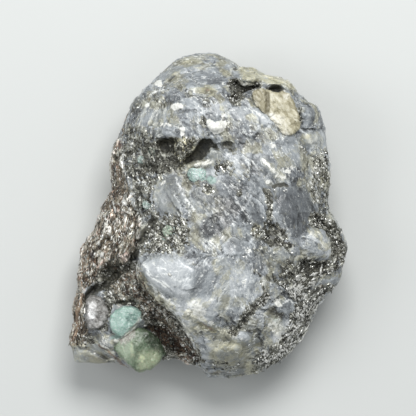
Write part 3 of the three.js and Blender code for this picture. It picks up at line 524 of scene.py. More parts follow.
# --------------------------------------------------------- what lies where
# Each mark: (field, strength, half width of its edge, kind, numbers). Kinds: "p" an outline,
# "e" an ellipse (u, v, half length, half width, turn), "s" a line (half width, points).
# Some marks stand for light and shade rather than the stone's own colour: painted shade, painted highlights and painted
# glints, each noted where it stands.
MARKS = [
    # mica schist
    ("mica", .50, 6, "p", [(118, 130), (128, 122), (142, 126), (152, 133), (163, 138), (185, 136), (196, 139), (190, 160), (184, 172), (170, 175),
                           (158, 181), (154, 195), (157, 211), (150, 222), (138, 216), (130, 190), (122, 165)]),
    ("mica", .72, 4, "p", [(140, 150), (150, 140), (164, 138), (182, 140), (196, 140), (188, 158), (176, 168), (160, 178), (146, 172), (138, 160)]),
    ("mica", .56, 5, "p", [(150, 212), (172, 214), (187, 217), (191, 238), (183, 251), (160, 255), (146, 254), (138, 258), (138, 240), (144, 224)]),
    ("mica", .95, 4, "p", [(60, 240), (96, 222), (106, 190), (110, 140), (120, 138), (125, 165), (131, 190), (137, 212), (144, 226), (141, 247), (132, 258),
                           (118, 266), (104, 270), (92, 286), (70, 300)]),
    ("mica", .9, 4, "p", [(100, 266), (125, 256), (139, 262), (140, 277), (150, 289), (165, 303), (179, 317), (186, 331), (196, 345), (203, 360),
                          (190, 368), (176, 360), (163, 360), (160, 345), (150, 330), (142, 318), (128, 304), (114, 305), (108, 318), (108, 330),
                          (101, 333), (100, 318), (104, 300), (108, 292), (96, 284)]),
    ("mica", .8, 3, "p", [(68, 305), (80, 292), (88, 300), (85, 315), (85, 328), (92, 334), (96, 344), (84, 347), (66, 345)]),
    ("mica", .45, 6, "p", [(312, 150), (330, 145), (332, 215), (318, 215), (309, 190)]),
    ("mica", .95, 3, "p", [(307, 219), (312, 213), (322, 214), (333, 222), (342, 236), (346, 255), (342, 264), (331, 260), (332, 246), (328, 234), (321, 228), (311, 227)]),
    ("mica", .95, 3, "p", [(299, 260), (309, 257), (320, 261), (334, 258), (340, 268), (330, 273), (318, 277), (312, 286), (303, 292), (297, 302), (293, 286), (295, 270)]),
    ("mica", .55, 7, "p", [(296, 300), (312, 284), (336, 282), (345, 290), (318, 316), (300, 345), (283, 364), (262, 374), (252, 374), (251, 358), (262, 349), (277, 341), (286, 326), (290, 310)]),
    ("mica", .85, 4, "s", (4, [(266, 297), (259, 303), (250, 310), (243, 321), (233, 333)])), ("mica", .8, 2, "s", (1.8, [(273, 277), (281, 284), (289, 291), (296, 299)])), ("mica", .5, 6, "e", (288, 272, 10, 14, 0)), ("mica", .35, 8, "e", (280, 352, 26, 14, -35)),
    ("mica", .8, 3, "s", (3, [(268, 192), (270, 210), (267, 224)])),
    ("mica", .62, 4, "p", [(262, 222), (274, 220), (284, 228), (288, 240), (284, 248), (270, 246), (260, 238)]), ("vein", .9, 1.6, "e", (261, 230, 3, 4, 10)), ("vein", .9, 1.6, "e", (280, 236, 3, 5, -10)), ("vein", .7, 1.6, "e", (272, 231, 4, 2, 20)),
    ("mica", .18, 10, "p", [(135, 100), (150, 82), (168, 70), (182, 82), (180, 100), (165, 120), (140, 130), (125, 128)]),
    ("mica", .75, 3, "e", (208, 189, 7, 5, 40)), ("mica", .8, 2.5, "e", (203, 122, 3, 6, 0)), ("mica", .5, 3, "e", (217, 168, 3, 10, 10)),
    ("mica", .6, 4, "e", (192, 140, 12, 4, 10)), ("mica", .5, 4, "e", (181, 325, 9, 6, 50)), ("mica", .7, 3, "e", (256, 231, 5, 6, 0)),
    ("mica", .6, 3, "e", (287, 246, 6, 4, 0)), ("mica", .6, 2, "s", (1.4, [(256, 270), (261, 282), (266, 296)])),
    ("mica", .5, 3, "e", (304, 150, 5, 3, 40)), ("mica", .6, 3, "s", (2, [(296, 128), (302, 118), (298, 104)])),
    ("mica", .55, 4, "e", (228, 168, 10, 6, 30)), ("mica", .35, 6, "e", (246, 176, 10, 8, 0)), ("mica", .7, 3, "e", (240, 193, 3, 4, 0)),
    # brown mica
    ("brown", 1, 4, "p", [(108, 150), (119, 146), (126, 170), (132, 188), (136, 213), (141, 226), (139, 245), (131, 256), (118, 264), (106, 268), (92, 286),
                          (70, 296), (70, 240), (95, 200), (108, 185)]),
    ("brown", .8, 4, "p", [(113, 284), (122, 272), (139, 270), (146, 284), (160, 300), (172, 318), (186, 334), (198, 350), (203, 364), (188, 368), (170, 360),
                           (178, 345), (160, 328), (146, 312), (132, 302), (118, 300)]),
    ("brown", .9, 3, "p", [(66, 305), (78, 292), (85, 300), (84, 318), (90, 330), (84, 342), (78, 348), (66, 345)]),
    ("brown", .9, 2, "s", (2, [(118, 140), (126, 124), (134, 107)])), ("brown", .5, 3, "e", (146, 96, 6, 8, 20)),
    ("brown", .9, 2, "s", (2.2, [(101, 346), (110, 352), (117, 359), (126, 367), (136, 372)])),
    ("brown", .7, 3, "p", [(66, 356), (74, 356), (110, 360), (118, 366), (66, 370)]),
    ("brown", .6, 3, "e", (320, 284, 4, 3, 0)), ("brown", .5, 2, "s", (2, [(214, 372), (226, 371), (240, 370)])),
    # olive and yellow stains
    ("stain", 1, 1.6, "s", (2.4, [(181, 141), (182, 152), (182, 164)])), ("vein", .6, 1.6, "s", (1.2, [(181, 142), (182, 152), (181, 163)])), ("stain", 1, 1.4, "s", (1.2, [(189, 140), (193, 148), (189, 156)])),
    ("stain", .7, 3, "e", (190, 63, 11, 4, -8)), ("stain", .9, 3, "e", (208, 91, 10, 5, 15)), ("stain", .7, 3, "e", (226, 72, 8, 3.5, 30)),
    ("stain", .7, 4, "p", [(240, 68), (258, 70), (262, 80), (250, 84), (240, 80)]), ("stain", .6, 4, "e", (285, 84, 8, 5, 25)), ("stain", .6, 4, "e", (174, 77, 6, 9, 20)),
    ("stain", 1, 3, "p", [(171, 138), (186, 137), (190, 145), (185, 168), (176, 168), (174, 152)]), ("stain", .7, 3, "e", (193, 152, 5, 8, 30)),
    ("stain", .5, 6, "e", (278, 262, 18, 10, 20)), ("stain", .7, 3, "e", (256, 230, 5, 7, 0)), ("stain", .9, 2, "s", (2.5, [(197, 323), (206, 328), (215, 331)])),
    ("stain", .6, 4, "e", (224, 333, 10, 5, -10)), ("stain", .6, 4, "e", (255, 342, 5, 9, 0)), ("stain", .75, 3, "p", [(244, 362), (249, 360), (254, 363), (258, 371), (252, 377), (244, 374)]),
    ("stain", .8, 2.5, "s", (2, [(142, 276), (147, 285), (155, 293), (163, 300), (168, 306)])), ("stain", .7, 3, "e", (324, 180, 4, 10, 0)),
    ("stain", .6, 4, "e", (193, 327, 7, 6, 0)), ("stain", .6, 4, "e", (311, 138, 10, 6, 0)), ("stain", .5, 4, "e", (305, 163, 6, 8, 0)),
    ("stain", .25, 4, "e", (235, 235, 12, 8, 0)), ("stain", .5, 3, "e", (212, 353, 4, 8, 0)), ("stain", .6, 2, "e", (186, 186, 5, 6, 0)), ("stain", .35, 6, "e", (222, 206, 12, 8, 20)),
    ("gloss", .5, 8, "p", [(220, 256), (262, 254), (260, 288), (236, 314), (210, 304)]), ("tone", -.12, 7, "p", [(224, 258), (262, 256), (260, 286), (238, 308), (220, 300)]),
    ("stain", .6, 3, "e", (144, 228, 3, 4, 0)), ("stain", .4, 4, "e", (168, 206, 7, 5, 0)), ("stain", .5, 3, "e", (160, 194, 4, 5, 0)),
    # white feldspar and bright quartz
    ("white", 1, 1.3, "p", [(206.5, 119), (209.5, 118.5), (212.5, 121.5), (215.5, 123.5), (218.5, 121.5), (222.5, 120.5), (226.5, 122), (226, 127), (222.5, 131), (218, 135), (213.5, 135), (209.5, 131.5), (207, 126)]),
    ("white", 1, 2, "e", (177.5, 106.5, 6.5, 3.2, 5)), ("white", 1, 1.6, "e", (159, 84, 3.6, 3, 0)), ("vein", 1, 2, "s", (1.6, [(151, 95), (157, 91.5), (163, 89)])),
    ("white", .9, 2, "e", (148, 105, 3, 2.5, 0)), ("white", .45, 4, "e", (152, 112, 6, 8, 0)), ("white", .7, 3, "e", (165, 125, 8, 2.5, 10)), ("white", .8, 2, "e", (182, 132, 3, 5, 0)),
    ("white", 1, 1.2, "e", (222.5, 84, 1.8, 1.2, 60)), ("white", .56, 3, "p", [(189, 166), (194, 162.5), (201, 160), (208, 158), (214, 159.5), (213, 164), (208, 167), (202, 168.5), (194, 169)]), ("stain", .6, 2, "s", (3, [(190, 166), (200, 163), (212, 161)])), ("tone", .25, 3, "e", (202, 164, 12, 4, -8)), ("tone", .4, 4, "e", (213, 174, 10, 9, 0)), ("gloss", .6, 4, "e", (213, 174, 9, 9, 0)), ("green", .3, 4, "e", (212, 174, 9, 8, 0)),
    ("white", .68, 3, "s", (2.4, [(263, 160), (270, 167), (277, 174), (284, 178)])), ("stain", .5, 3, "s", (3, [(263, 160), (270, 167), (277, 174), (286, 178)])), ("tone", .2, 4, "s", (4, [(263, 160), (270, 167), (277, 174), (288, 178)])), ("white", .8, 1.8, "e", (288, 172, 3, 1.8, 0)), ("white", .4, 3.5, "s", (2, [(271, 131), (275, 136), (280, 142)])),
    # Painted glint: the vein stroke from (231, 184) to (239, 190) on the next line whitens a spot where mica flashes in
    # the light.
    ("white", .7, 2.5, "e", (273, 146, 3.5, 4, 0)), ("vein", 1, 1.2, "s", (1.0, [(231, 184), (235, 187), (239, 190)])), ("white", .6, 3, "e", (248, 250, 6, 4, 0)),
    ("white", .4, 4, "e", (215, 245, 9, 6, 20)), ("white", .6, 4, "e", (200, 312, 8, 8, 0)), ("white", .8, 2, "e", (212, 323, 3, 2.5, 0)), ("vein", 1, 2, "s", (1.3, [(181, 188), (185, 196), (189, 204), (196, 212), (201, 217)])),
    ("vein", 1, 2, "s", (1.0, [(213, 195), (221, 206), (229, 216), (234, 226)])), ("white", .7, 2, "e", (268, 182, 4, 2.5, 0)), ("vein", 1, 2, "s", (.9, [(236, 200), (241, 207), (246, 213)])),
    # Painted glints: the last two white marks on the next line whiten two spots where mica flashes in the light.
    ("vein", 1, 2, "s", (1.6, [(250, 108), (257, 112), (263, 117)])), ("vein", .9, 1.8, "s", (1.0, [(221, 117), (230, 111), (240, 108.5), (250, 109)])), ("vein", .8, 1.6, "s", (.8, [(262, 118), (269, 127), (276, 134), (285, 140)])), ("white", .42, 3, "s", (2, [(226, 228), (222, 238), (224, 246)])), ("white", .8, 2, "e", (316, 168, 2, 1.5, 40)), ("white", .8, 2, "e", (317, 173, 2.6, 2, 20)),
    ("white", .7, 3, "s", (1.8, [(308, 236), (313, 232), (316, 238)])), ("white", .6, 3, "e", (245, 284, 4, 6, 20)), ("vein", 1, 3, "s", (1.6, [(236, 296), (241, 304), (243, 310)])),
    ("white", .7, 2, "e", (283, 92, 3, 3.5, 30)), ("white", .6, 3, "e", (278, 303, 6, 4, 30)), ("white", .55, 2.2, "p", [(270, 319), (280, 317), (284, 327), (281, 338), (273, 334), (267, 326)]), ("stain", .4, 2.2, "p", [(270, 319), (280, 317), (284, 327), (281, 338), (273, 334), (267, 326)]), ("white", .6, 3, "e", (262, 247, 3, 4, 30)),
    # Painted glints: every mark on the next three lines whitens a spot where mica flakes flash in the light; the first
    # two lie on the glinting face of the nodule.
    ("white", .8, 2.5, "e", (92, 314, 3.5, 6.5, -8)), ("white", .6, 3, "e", (96, 303, 4, 5, 0)), ("white", .7, 2, "e", (164, 183, 1.5, 4, 30)), ("white", .9, 2, "e", (127, 200, 3.2, 5, 0)), ("vein", 1, 2, "s", (1.0, [(115, 201), (118, 208), (119, 215)])),
    ("vein", 1, 1.5, "s", (.9, [(108, 218), (112, 223)])), ("vein", 1, 1.5, "s", (.9, [(114, 232), (112, 240)])), ("white", .8, 1.5, "e", (103, 255, 2.6, 3.6, 20)), ("white", .8, 1.5, "e", (95.5, 254, 1.2, 3, 20)), ("vein", 1, 1.2, "s", (.9, [(90, 268), (90, 275)])),
    ("white", .9, 1.2, "s", (1.1, [(108.5, 289.5), (111, 293), (114, 296)])), ("white", .9, 1.2, "e", (123.5, 298.5, 2, 1.3, 30)), ("white", .9, 1, "e", (157, 314.5, 1.3, 1, 0)), ("white", .8, 1, "e", (144.5, 324.5, 1, 1.4, 0)), ("white", 1, 1, "e", (175.3, 348.3, 1.2, 1.1, 0)),
    ("white", .5, 4, "e", (105, 341, 6, 6, 0)), ("white", .7, 2, "e", (109, 345, 2, 2, 0)), ("white", .5, 2, "e", (126, 290, 2, 2, 0)),
    # Painted highlight: the vein strokes on the next two lines and the first stroke of the third streak the sheen face
    # with white glare.
    ("vein", 1, 2.2, "s", (2.2, [(144, 264), (148.5, 273), (157, 281), (168, 287)])), ("vein", 1, 1.6, "s", (1.0, [(150, 262), (160, 268), (172, 272), (184, 270)])), ("vein", 1, 1.6, "s", (.9, [(158, 257), (165, 262), (173, 268)])), ("vein", 1, 1.6, "s", (1, [(171, 277), (180, 282), (187, 278)])),
    ("vein", 1, 1.6, "s", (.9, [(157, 276), (166, 274), (174, 276)])), ("vein", 1, 1.6, "s", (1, [(150, 284), (158, 292), (167, 300), (176, 307)])), ("vein", 1, 1.6, "s", (.9, [(196, 298), (191, 305), (194, 314)])), ("vein", 1, 1.5, "s", (.7, [(206, 270), (197, 283), (189, 296)])),
    ("vein", 1, 1.5, "s", (.7, [(192, 276), (187, 282), (181, 287)])), ("vein", 1, 1.5, "s", (.7, [(240, 262), (232, 276), (224, 292), (214, 308)])), ("vein", 1, 1.4, "s", (.6, [(254, 266), (250, 280), (248, 296)])), ("vein", 1, 1.4, "s", (.6, [(213, 196), (222, 208), (232, 222)])),
    ("vein", 1, 1.4, "s", (.6, [(224, 184), (234, 196), (246, 210), (254, 222)])), ("vein", 1, 1.4, "s", (.6, [(190, 98), (198, 110), (204, 118)])), ("vein", 1, 1.4, "s", (.6, [(200, 96), (209, 108), (216, 116)])), ("vein", 1, 1.4, "s", (.6, [(226, 96), (236, 104), (246, 110), (258, 114)])),
    ("vein", .6, 2.2, "e", (164, 202, 2.4, 4, 10)), ("vein", .78, 2.4, "s", (2, [(177, 180), (182, 190), (188, 204), (200, 216)])), ("vein", .62, 3, "p", [(199, 238), (212, 236), (222, 244), (215, 249), (204, 247)]), ("tone", .1, 3, "e", (211, 243, 12, 6, 15)), ("vein", .55, 2, "s", (1.2, [(160, 184), (159, 192), (163, 202)])),
    ("vein", 1, 1.4, "s", (.7, [(248, 218), (254, 226), (258, 232)])), ("vein", 1, 1.4, "s", (.6, [(243, 150), (250, 158), (256, 168)])), ("vein", 1, 1.4, "s", (.6, [(228, 138), (236, 146), (244, 156)])), ("vein", 1, 1.5, "s", (1.2, [(282, 304), (290, 300), (297, 305)])),
    # Painted glints: the three white marks on the next line whiten spots where the mica on the lower right flashes in
    # the light.
    ("vein", 1, 1.5, "s", (.8, [(262, 313), (272, 320), (282, 330)])), ("white", .9, 1.4, "e", (296, 312, 3, 2, 0)), ("white", .85, 1.4, "e", (304, 296, 3, 2.4, 30)), ("white", .8, 1.4, "e", (266, 352, 4, 2, 30)),
    # lighter (+) and darker (-) quartz; some of these marks are painted highlight, painted glints and painted shade, as
    # noted
    # Painted highlight: the next mark lightens the sheen face, where the glossy quartz catches the light.
    ("tone", .42, 3, "p", [(142, 262), (160, 256), (180, 258), (192, 266), (188, 276), (196, 285), (187, 299), (172, 297), (156, 290), (146, 280)]),
    # Painted glints: on the next line, the tone marks at (285, 336) and (310, 305) lighten the mica on the lower right
    # so that more of its plates turn silver, standing in for its glints.
    ("tone", .7, 5, "e", (203, 310, 14, 13, 0)), ("tone", .8, 8, "e", (285, 336, 22, 14, -35)), ("stain", .4, 4, "e", (222, 338, 12, 5, -20)), ("tone", .75, 6, "e", (310, 305, 13, 9, -45)), ("tone", -.85, 4, "p", [(295, 268), (303, 259), (318, 260), (332, 264), (326, 274), (314, 281), (306, 292), (298, 292), (294, 280)]), ("tone", -.5, 3, "p", [(113, 166), (127, 172), (131, 190), (130, 204), (121, 202), (114, 186)]), ("tone", -.3, 6, "e", (302, 268, 14, 10, -10)), ("tone", .24, 8, "e", (228, 352, 24, 18, 0)), ("tone", -.1, 4, "e", (230, 357, 14, 12, 0)), ("tone", .35, 2, "s", (1.5, [(214, 354), (218, 347), (225, 344), (234, 345), (240, 349)])), ("tone", .3, 4, "e", (240, 335, 9, 5, 0)), ("white", .5, 2, "e", (236, 352, 5, 2, 30)), ("white", .5, 2, "e", (222, 362, 4, 2, -20)), ("white", .5, 2, "e", (244, 338, 5, 3, 20)), ("stain", .8, 2.5, "s", (2, [(255, 332), (254, 342), (256, 352)])), ("vein", 1, 2, "s", (1.2, [(256, 333), (255, 343)])), ("stain", .45, 5, "e", (230, 358, 16, 13, 0)), ("mica", .35, 5, "e", (222, 366, 26, 7, 0)), ("tone", .5, 8, "p", [(150, 296), (190, 300), (196, 350), (176, 340)]), ("tone", .3, 8, "e", (230, 290, 30, 24, 0)), ("tone", .35, 8, "e", (318, 165, 10, 30, 0)), ("tone", .3, 10, "e", (110, 230, 24, 40, 20)), ("stain", .3, 5, "e", (92, 352, 20, 10, 0)), ("tone", .16, 5, "p", [(66, 340), (100, 338), (116, 366), (66, 368)]), ("stain", .5, 5, "p", [(66, 340), (100, 338), (116, 366), (66, 368)]), ("tone", .12, 10, "e", (205, 74, 28, 12, 0)), ("tone", -.3, 10, "e", (152, 110, 18, 16, 0)), ("tone", -.15, 10, "e", (222, 112, 24, 18, 0)), ("tone", .2, 6, "e", (215, 244, 13, 9, 10)), ("tone", .2, 7, "e", (232, 236, 12, 10, 0)), ("tone", .35, 5, "p", [(302, 236), (312, 230), (325, 230), (331, 240), (330, 254), (318, 258), (304, 254)]),
    ("tone", .4, 6, "e", (155, 112, 14, 16, 0)), ("tone", .3, 5, "e", (172, 318, 9, 12, -35)), ("stain", .7, 6, "e", (230, 354, 20, 16, 0)), ("tone", .5, 5, "e", (312, 138, 11, 8, 0)), ("tone", .3, 8, "e", (255, 115, 16, 10, 0)), ("tone", .2, 8, "e", (215, 108, 14, 8, 0)), ("tone", .25, 6, "e", (240, 282, 12, 20, 10)),
    # Painted shade: the first two marks on the next line darken the dark lens, a face turned away from the light.
    ("tone", -.36, 3.5, "p", [(277, 196), (284, 189), (296, 187), (307, 191), (313, 204), (311, 221), (304, 236), (293, 237), (285, 226), (279, 212)]), ("tone", -.10, 5, "p", [(286, 196), (300, 194), (307, 204), (306, 222), (299, 234), (290, 228), (285, 212)]), ("tone", -.3, 5, "e", (315, 205, 7, 15, -10)),
    ("tone", -.6, 2.5, "p", [(209, 216), (214, 214), (223, 213), (220, 219), (213, 223)]), ("tone", -.5, 3, "p", [(222, 201), (232, 200), (245, 208), (252, 222), (244, 222), (232, 212)]), ("tone", -.3, 5, "e", (210, 235, 12, 6, 30)),
    ("tone", -.15, 8, "e", (205, 78, 18, 10, 0)), ("tone", -.2, 8, "e", (250, 165, 14, 8, 0)), ("tone", -.25, 8, "e", (248, 135, 14, 8, 0)), ("tone", -.35, 4, "e", (258, 253, 6, 6, 0)), ("tone", -.4, 4, "e", (286, 269, 5, 7, 0)),
    ("tone", -.55, 3, "p", [(278, 287), (286, 289), (294, 298), (290, 301), (281, 296)]), ("tone", -.6, 2.5, "s", (3, [(272, 310), (281, 315), (293, 319)])), ("tone", -.25, 5, "e", (246, 345, 7, 7, 0)), ("tone", -.2, 5, "e", (222, 354, 8, 7, 0)), ("tone", -.25, 4, "e", (240, 364, 7, 5, 0)),
    ("tone", -.1, 4, "p", [(299, 103), (309, 103), (318, 112), (318, 122), (306, 122), (300, 114)]), ("tone", -.25, 6, "e", (240, 192, 16, 10, 30)), ("tone", -.2, 8, "e", (205, 285, 10, 14, 30)), ("tone", -.3, 6, "e", (268, 344, 10, 8, 0)),
    ("tone", -.3, 5, "e", (172, 190, 9, 14, 10)), ("tone", -.2, 6, "e", (100, 358, 16, 5, 0)), ("tone", -.4, 3, "e", (106, 357, 7, 3.5, 0)), ("tone", -.35, 5, "e", (226, 320, 9, 8, 0)), ("tone", -.3, 5, "e", (300, 170, 8, 10, 0)), ("tone", -.3, 4, "e", (165, 104, 7, 4, 0)),
    ("tone", -.4, 3, "e", (155, 98, 6, 3, -20)), ("tone", -.3, 6, "e", (240, 95, 14, 8, 0)), ("tone", .25, 4, "e", (143, 188, 8, 6, 0)), ("tone", .3, 4, "e", (237, 170, 4, 5, 0)),
    ("tone", -.15, 2.5, "p", [(191, 190), (200, 186), (216, 194), (222, 205), (207, 215), (195, 207)]), ("stain", .35, 2.5, "p", [(191, 190), (200, 186), (216, 194), (222, 205), (207, 215), (195, 207)]),
    ("tone", -.4, 2.5, "p", [(207, 216), (225, 214), (231, 224), (222, 232), (204, 238), (199, 228)]), ("tone", -.3, 2.5, "p", [(216, 195), (234, 198), (250, 221), (236, 222), (222, 205)]),
    ("tone", .15, 3, "e", (236, 233, 11, 6, 0)), ("stain", .2, 3, "e", (236, 233, 11, 6, 0)), ("stain", .35, 3, "s", (2.6, [(178, 180), (184, 190), (191, 204), (203, 217)])), ("stain", .3, 3, "e", (170, 195, 13, 19, 10)), ("tone", .12, 4, "e", (170, 195, 12, 18, 10)), ("tone", -.2, 4, "p", [(298, 259), (312, 257), (332, 262), (326, 272), (306, 278), (296, 276)]),
    ("tone", -.08, 4, "p", [(196, 266), (212, 262), (217, 278), (206, 298), (192, 300), (190, 282)]), ("stain", .8, 3, "p", [(238, 66), (262, 68), (276, 74), (292, 82), (296, 92), (284, 88), (262, 82), (240, 82)]), ("tone", .38, 4, "p", [(238, 66), (262, 68), (276, 74), (292, 82), (290, 88), (262, 80), (240, 80)]),
    # smooth, glossy faces
    ("gloss", .7, 3, "p", [(191, 190), (200, 186), (216, 194), (222, 205), (207, 215), (195, 207)]), ("gloss", .7, 3, "p", [(207, 216), (225, 214), (231, 224), (222, 232), (204, 238), (199, 228)]),
    ("gloss", 1, 3, "p", [(141, 262), (160, 255), (182, 257), (196, 267), (212, 262), (216, 280), (204, 300), (186, 300), (170, 297), (154, 290), (144, 280)]),
    ("gloss", 1, 3, "p", [(275, 193), (284, 187), (296, 187), (307, 193), (313, 206), (310, 222), (302, 237), (293, 236), (286, 224), (278, 208)]), ("gloss", .8, 4, "e", (93, 314, 7, 12, -8)),
    ("gloss", .95, 4, "e", (171, 195, 14, 20, 10)), ("gloss", .5, 6, "e", (205, 76, 22, 12, 0)), ("gloss", .6, 5, "e", (235, 205, 20, 10, 35)), ("gloss", .85, 3, "e", (230, 357, 15, 12, 0)), ("gloss", .75, 3, "e", (242, 341, 11, 10, 0)), ("gloss", .6, 3, "e", (209, 352, 5, 8, 0)), ("gloss", .85, 3, "p", [(70, 343), (90, 341), (104, 348), (114, 364), (70, 366)]),
    # greenish bits of beryl in the quartz
    ("green", .8, 2.5, "e", (211, 180, 5, 4, 20)), ("green", .5, 3, "e", (141, 160, 7, 4, 0)), ("green", .6, 3, "e", (171, 230, 5, 5, 20)), ("green", .6, 3, "e", (167, 238, 6, 4, 0)), ("green", .6, 3, "e", (147, 204, 6, 5, 0)),
    ("green", .4, 4, "e", (150, 152, 10, 5, 0)), ("green", .3, 4, "e", (205, 172, 8, 6, 0)), ("green", .35, 4, "e", (276, 320, 6, 5, 0)), ("green", .3, 5, "e", (210, 318, 8, 5, 0)), ("green", .6, 3, "s", (3, [(112, 338), (120, 336), (128, 329), (136, 322), (143, 314)])), ("green", .25, 3, "e", (145, 319, 6, 6, 0)), ("gloss", .7, 2, "s", (3, [(112, 338), (120, 336), (128, 329), (136, 322), (145, 316)])), ("stain", .5, 2, "s", (2, [(112, 342), (122, 338), (130, 330), (138, 322)])), ("tone", .3, 3, "s", (5, [(112, 340), (122, 337), (130, 329), (140, 318), (148, 316)])), ("vein", .8, 2, "s", (1.5, [(118, 339), (126, 334), (134, 325), (141, 318)])), ("rust", .35, 2, "s", (1, [(116, 341), (126, 334), (134, 326)])), ("green", .3, 4, "e", (213, 66, 8, 4, 0)),
    ("green", .3, 3, "e", (108, 280, 5, 3, 0)),
    # rusty crusts
    ("rust", .6, 2.4, "s", (.8, [(140, 266), (141, 274), (145, 283), (152, 290), (158, 296), (165, 303), (171, 310)])), ("rust", .9, 1.6, "s", (1.2, [(100, 345), (107, 349), (113, 355), (120, 362), (128, 368), (135, 373)])),
    ("tone", .3, 3, "p", [(244, 363), (249, 360), (254, 363), (257, 371), (252, 377), (244, 374)]), ("white", .3, 3, "p", [(246, 364), (250, 361), (254, 366), (255, 372), (247, 374)]), ("rust", .8, 2, "e", (120, 146, 2.6, 6, 10)), ("rust", .4, 2.5, "e", (119, 172, 3, 12, 0)), ("rust", .6, 2, "e", (138, 221, 3, 7, -20)),
    # Painted shade: the last mark on the next line darkens the strip at the foot of the quartz ledge, which lies in the
    # ledge's shade.
    ("rust", .7, 2, "s", (1.2, [(203, 324), (208, 327), (213, 330)])), ("rust", .5, 2.5, "e", (116, 268, 4, 3, 0)), ("rust", .6, 2.5, "e", (139, 286, 3, 5, 20)), ("rust", .75, 3, "p", [(122, 272), (132, 268), (140, 276), (146, 288), (142, 300), (128, 298), (120, 290)]), ("tone", -.36, 4, "p", [(112, 270), (132, 262), (140, 276), (160, 298), (190, 338), (198, 360), (176, 356), (140, 312), (112, 300)]),
    ("shade", .4, 3, "s", (3, [(82, 300), (78, 315), (78, 330), (74, 342)])), ("rust", .7, 3, "s", (3, [(82, 296), (78, 312), (78, 328), (74, 340)])), ("tone", -.2, 5, "p", [(66, 296), (86, 292), (86, 340), (66, 346)]),
    ("rust", .8, 3, "p", [(146, 326), (160, 326), (176, 333), (190, 346), (198, 352), (196, 361), (186, 362), (174, 352), (160, 342)]), ("rust", .5, 2, "s", (1.6, [(80, 275), (79, 290), (77, 304)])), ("rust", .5, 2, "s", (1.2, [(205, 370), (220, 373), (236, 373)])),
    ("rust", .5, 3, "s", (1.4, [(84, 250), (90, 240), (98, 226), (106, 204)])), ("rust", .6, 1.5, "e", (208, 91, 3, 2, 0)),
    # fine pale veins all over the open quartz
    ("vein", .4, 4, "p", [(186, 100), (250, 96), (262, 112), (288, 138), (300, 160), (290, 182), (268, 186), (262, 214), (244, 226), (222, 226), (196, 212), (190, 184), (222, 178), (224, 150), (214, 136), (186, 130)]),
    ("vein", .4, 4, "p", [(142, 262), (180, 256), (226, 250), (262, 252), (272, 270), (256, 300), (236, 322), (196, 320), (170, 304), (150, 290)]), ("vein", .4, 4, "p", [(303, 236), (325, 230), (332, 244), (328, 256), (306, 256)]),
    # painted shade: the hollows, the recess under the flank, the cracks, the foot of the ledges and the gaps between
    # the layers are darkened in colour where shade falls; a few marks here also give dark mica and dark reddish layers
    # their own colour
    ("shade", 1, 1.8, "p", [(204, 138), (212, 139), (215, 143), (220, 147), (219, 151), (212, 148), (209, 151), (206, 156), (201, 160), (193, 162), (185, 165), (184, 161), (190, 155), (195, 150), (198, 144), (200, 140)]),
    ("shade", .95, 2, "p", [(157, 140), (164, 137.5), (173, 138), (177, 142), (174, 148), (171, 154), (163, 153), (157, 148)]), ("shade", .6, 2.4, "p", [(218, 144), (225, 140.5), (233, 141), (238, 147), (236, 152), (230, 152.5), (224, 151.5), (219, 149)]),
    ("shade", .7, 2, "p", [(230, 81), (237, 79), (242, 84), (250, 83.5), (257, 82), (261, 85), (258, 90), (250, 92.5), (243, 96), (240, 100), (236, 105), (231, 101), (232, 91)]), ("mica", .95, 2, "p", [(229, 80), (237, 78), (242, 83), (250, 83), (257, 81), (262, 85), (258, 91), (250, 93), (243, 97), (240, 101), (236, 106), (230, 102)]),
    ("shade", .9, 1.6, "p", [(268, 91), (271, 86), (280, 85), (285, 90), (278, 93)]), ("shade", .9, 1.5, "e", (117.5, 158.5, 3, 4.5, 0)), ("shade", 1, 1.4, "s", (2.0, [(274, 187), (278, 185), (284, 184.5), (287, 186.5)])), ("shade", .8, 1.4, "s", (1.2, [(263, 228), (268, 225), (274, 225), (279, 230)])), ("shade", .8, 1.4, "s", (1.2, [(266, 233), (272, 236), (278, 238)])), ("shade", .75, 2, "s", (1.4, [(263, 301), (254, 307), (247, 316), (241, 324)])),
    ("shade", .8, 2, "s", (2, [(262, 237), (268, 242), (277, 244)])), ("shade", .5, 2, "e", (273, 226, 6, 3, 20)), ("shade", .8, 2, "p", [(141, 169), (145, 164.5), (154, 164), (159, 166.5), (154, 169.5), (146, 171)]),
    ("shade", .8, 2.4, "p", [(154, 217), (158, 219), (153, 226), (149, 233), (146, 240), (141, 244), (139, 240), (144, 232), (149, 224)]), ("shade", .6, 2, "s", (1.8, [(135, 226), (136, 238), (137, 249)])),
    ("shade", 1, 2, "p", [(127, 259), (131, 252), (138, 249), (141, 252), (139, 257), (132, 260), (124, 263)]), ("shade", .95, 3.5, "p", [(98, 270), (104, 261), (114, 258), (123, 262), (124, 272), (121, 283), (111, 285), (100, 281)]),
    ("shade", 1, 3, "p", [(82, 297), (90, 286), (99, 281), (110, 279), (113, 287), (100, 292), (92, 298), (86, 304), (81, 305)]), ("shade", 1, 1.8, "p", [(117, 304), (122, 299.5), (131, 299.5), (137, 302), (133, 305), (124, 305)]),
    ("shade", .85, 3.5, "p", [(141, 328), (150, 324.5), (164, 326), (176, 335), (186, 350), (178, 352), (168, 348), (160, 342), (154, 333), (146, 331)]), ("shade", .5, 3, "p", [(180, 340), (190, 348), (197, 358), (190, 362), (182, 354)]),
    ("shade", .5, 2.4, "p", [(115, 170), (127, 174), (131, 190), (130, 203), (122, 200), (117, 188)]), ("shade", .95, 2, "p", [(150, 217), (154, 219), (150, 228), (147, 238), (142, 246), (138, 243), (142, 232), (146, 223)]),
